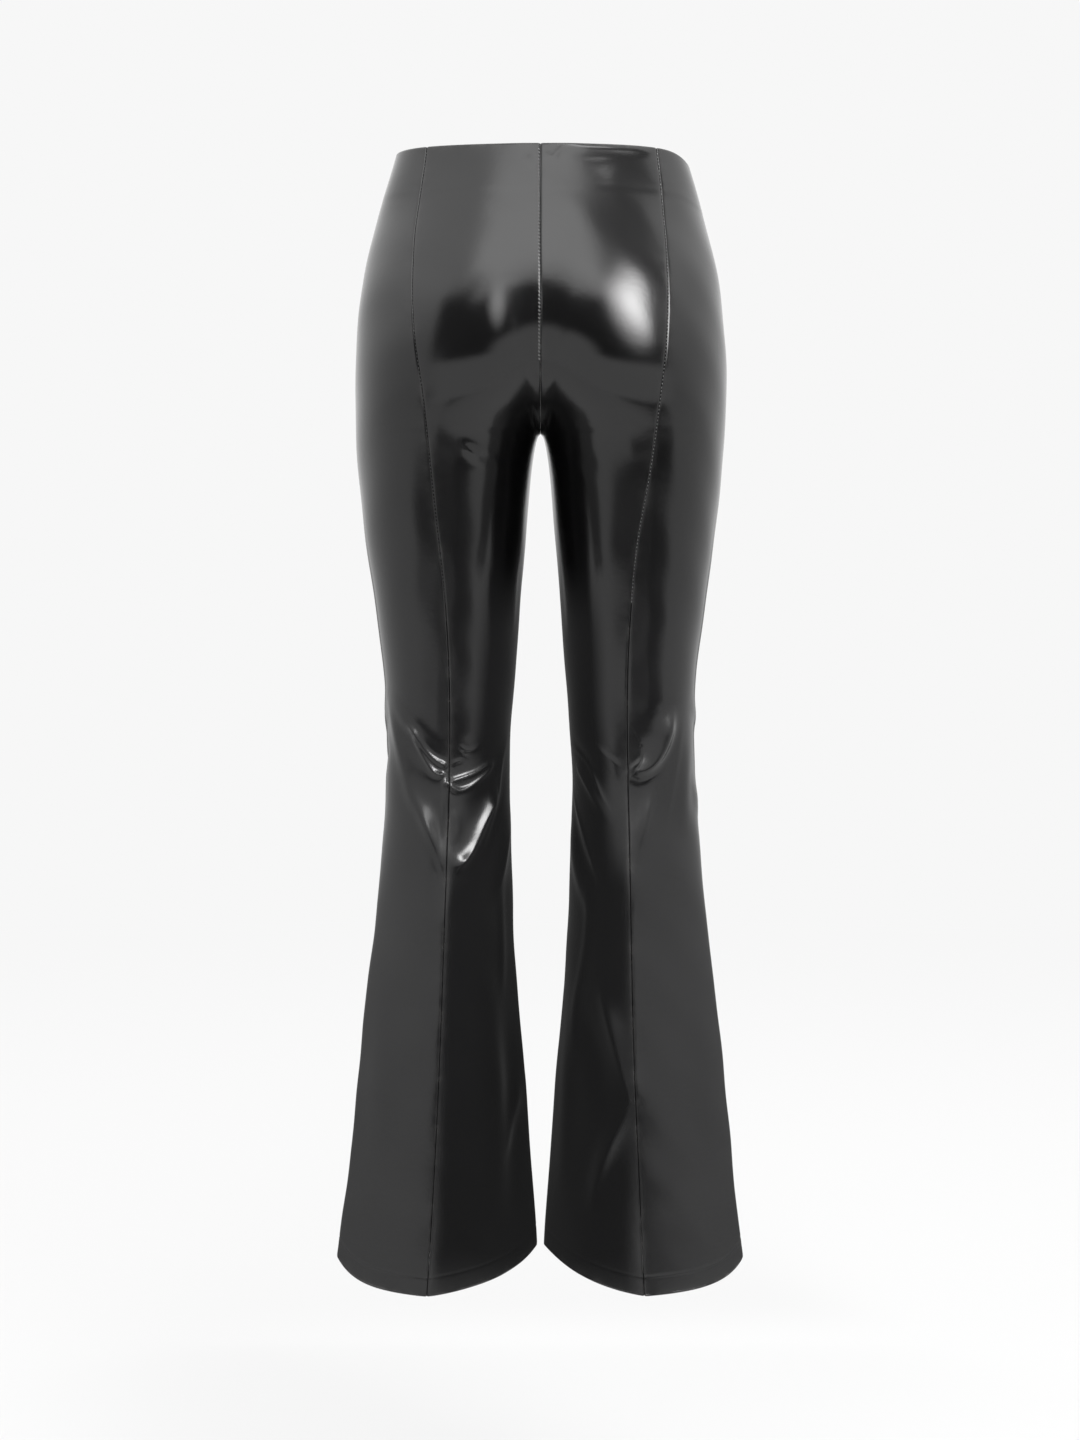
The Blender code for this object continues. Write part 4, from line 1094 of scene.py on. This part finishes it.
def stage_panel(name, centre, facing, width, height):
    """A glowing rectangle of the stage that faces a direction, unseen by the camera."""
    x, y = width / 2, height / 2
    glow = Material(name, Base_Color=BLACK, Roughness=1.0, Specular_IOR_Level=0.0, Emission_Color=WHITE)
    panel = new_piece(name, [(-x, -y, 0), (x, -y, 0), (x, y, 0), (-x, y, 0)], [(0, 1, 2, 3)], [glow.data])
    panel.location = centre
    panel.rotation_euler = Vector(facing).to_track_quat("Z", "Y").to_euler()
    panel.visible_camera = False
    return glow, panel


def soft_edges(glow, width, height, fade):
    """1 in the middle of a panel, falling softly to 0 at its edges."""
    split = glow.add("SeparateXYZ", {0: glow.place()})
    return glow.math("MULTIPLY", *(
        glow.fade(glow.math("ABSOLUTE", split.outputs[axis]), size / 2, size / 2 * (1 - fade))
        for axis, size in (("X", width), ("Y", height))))


def add_soft_box(name, azimuth, elevation, distance, width, height, brightness, lean, fade):
    a, e = math.radians(azimuth), math.radians(elevation)
    towards = Vector((math.sin(a) * math.cos(e), math.cos(a) * math.cos(e), math.sin(e)))
    glow, _ = stage_panel(name, HIPS + towards * distance, towards, width, height)
    edges = soft_edges(glow, width, height, fade)
    up = glow.add("SeparateXYZ", {0: glow.place()}).outputs["Y"]
    leaning = glow.math("MULTIPLY_ADD", up, 2 / height * lean * brightness, brightness)
    glow.set(Emission_Strength=glow.math("MULTIPLY", edges, leaning), Alpha=edges)


def add_flags():
    for name, low, high, brightness, fade in FLAGS:
        low, high = np.array(low), np.array(high)
        facing = np.argmin(high - low)
        width, height = np.delete(high - low, facing)
        glow, panel = stage_panel(name, (low + high) / 2, np.eye(3)[facing], width, height)
        panel.visible_diffuse = False
        glow.set(Emission_Strength=brightness, Alpha=soft_edges(glow, width, height, fade))
    for name, centre, half_length, half_width, turn, brightness, fade in ROUND_FLAGS:
        glow, panel = stage_panel(name, centre, (0, 1, 0), 2 * half_length, 2 * half_width)
        panel.visible_diffuse = False
        panel.rotation_euler.rotate_axis("Z", math.radians(turn))
        scaled = glow.add("VectorMath", {0: glow.place(), 1: (1 / half_length, 1 / half_width, 1.0)},
                          operation="MULTIPLY").outputs[0]
        glow.set(Emission_Strength=brightness, Alpha=glow.fade(glow.length(scaled), 1.0, 1.0 - fade))


def add_surroundings():
    """Seen directly the studio is one pale tone; in the leather's reflections it is lighter overhead."""
    world = bpy.data.worlds.new("studio")
    bpy.context.scene.world = world
    world.use_nodes = True
    nodes = Nodes(world.node_tree)
    direction = nodes.add("TexCoord").outputs["Generated"]
    up = nodes.add("SeparateXYZ", {0: direction}).outputs["Z"]
    sky = nodes.between(up, SKY_LOW, SKY_HIGH, SKY_FROM, SKY_TO, "SMOOTHSTEP")
    seen = nodes.add("LightPath").outputs["Is Camera Ray"]
    strength = nodes.add("Mix", {0: seen, 2: sky, 3: PALE}).outputs[0]
    nodes.fill(world.node_tree.nodes["Background"], {"Strength": strength, "Color": WHITE})


def add_floor():
    """A pale floor that takes soft shadows near the trousers and ends in the studio's own tone."""
    pale = Material("floor", Roughness=1.0, Specular_IOR_Level=0.0, Emission_Color=WHITE)
    far = pale.fade(pale.length(pale.place()), *FLOOR_FADE)
    pale.set(Base_Color=pale.colours(far, (FLOOR_COLOUR,) * 3, (0, 0, 0)),
             Emission_Strength=pale.between(far, FLOOR_GLOW, PALE))
    turns = np.linspace(0, 2 * math.pi, FLOOR_SIDES, endpoint=False)
    corners = [(FLOOR_RADIUS * math.cos(turn), FLOOR_RADIUS * math.sin(turn), 0) for turn in turns]
    floor = new_piece("floor", corners, [range(FLOOR_SIDES)], [pale.data])
    floor.location.z = FLOOR_Z


# ----------------------------------------------------------------------

def finish_piece(piece):
    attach(piece, "root")


def declare_sheet(cloth, name):
    length = float(cloth.from_waist[-1, cloth.part(name)].max()) + WAIST_TURN + HEM_DEPTH


def main():
    bpy.context.scene.view_settings.view_transform = "Standard"
    sections = Sections()
    leather, backing = coated_leather(), knit_backing()
    # One black sewing thread in lit copies: the right seams' and the centre back's are much lighter, painted
    # glints where the key light catches them; the left seams' is a dimmer copy and the hem's is the darkest.
    seam_threads_with_painted_glints = {LEFT: thread("seam_thread_left", dark=0.025, light=0.070),
               RIGHT: thread("seam_thread_right_painted_glints", dark=0.080, light=0.200)}
    dark_thread = thread("hem_thread", dark=0.012, light=0.040)
    rope_thread_painted_glints = thread("centre_thread_painted_glints", dark=0.120, light=0.300)
    for leg in (LEFT, RIGHT):
        cloth = Leg(leg, sections)
        seams = {"princess": cloth.columns["back_centre"][0], "side": cloth.columns["back_side"][0]}
        if leg == LEFT:
            seams["centre_front"] = cloth.columns["front"][0]
        stitches = [seam_stitches(cloth, name, column, seam_threads_with_painted_glints[leg]) for name, column in seams.items()]
        stitches.append(hem_stitches(cloth, dark_thread))
        if leg == LEFT:
            stitches.append(rope_stitches(cloth, rope_thread_painted_glints))
        for name in PANEL_SHARES:
            piece = build_panel(cloth, name, [leather, backing])
            finish_piece(piece)
            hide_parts(f"{name}_{SIDE_NAMES[leg]}")
            finish_piece(build_allowances(cloth, name, leather))
            declare_sheet(cloth, name)
        for piece in stitches:
            finish_piece(piece)
    add_camera()
    add_surroundings()
    add_floor()
    add_flags()
    for light in LIGHTS:
        add_soft_box(*light)


main()
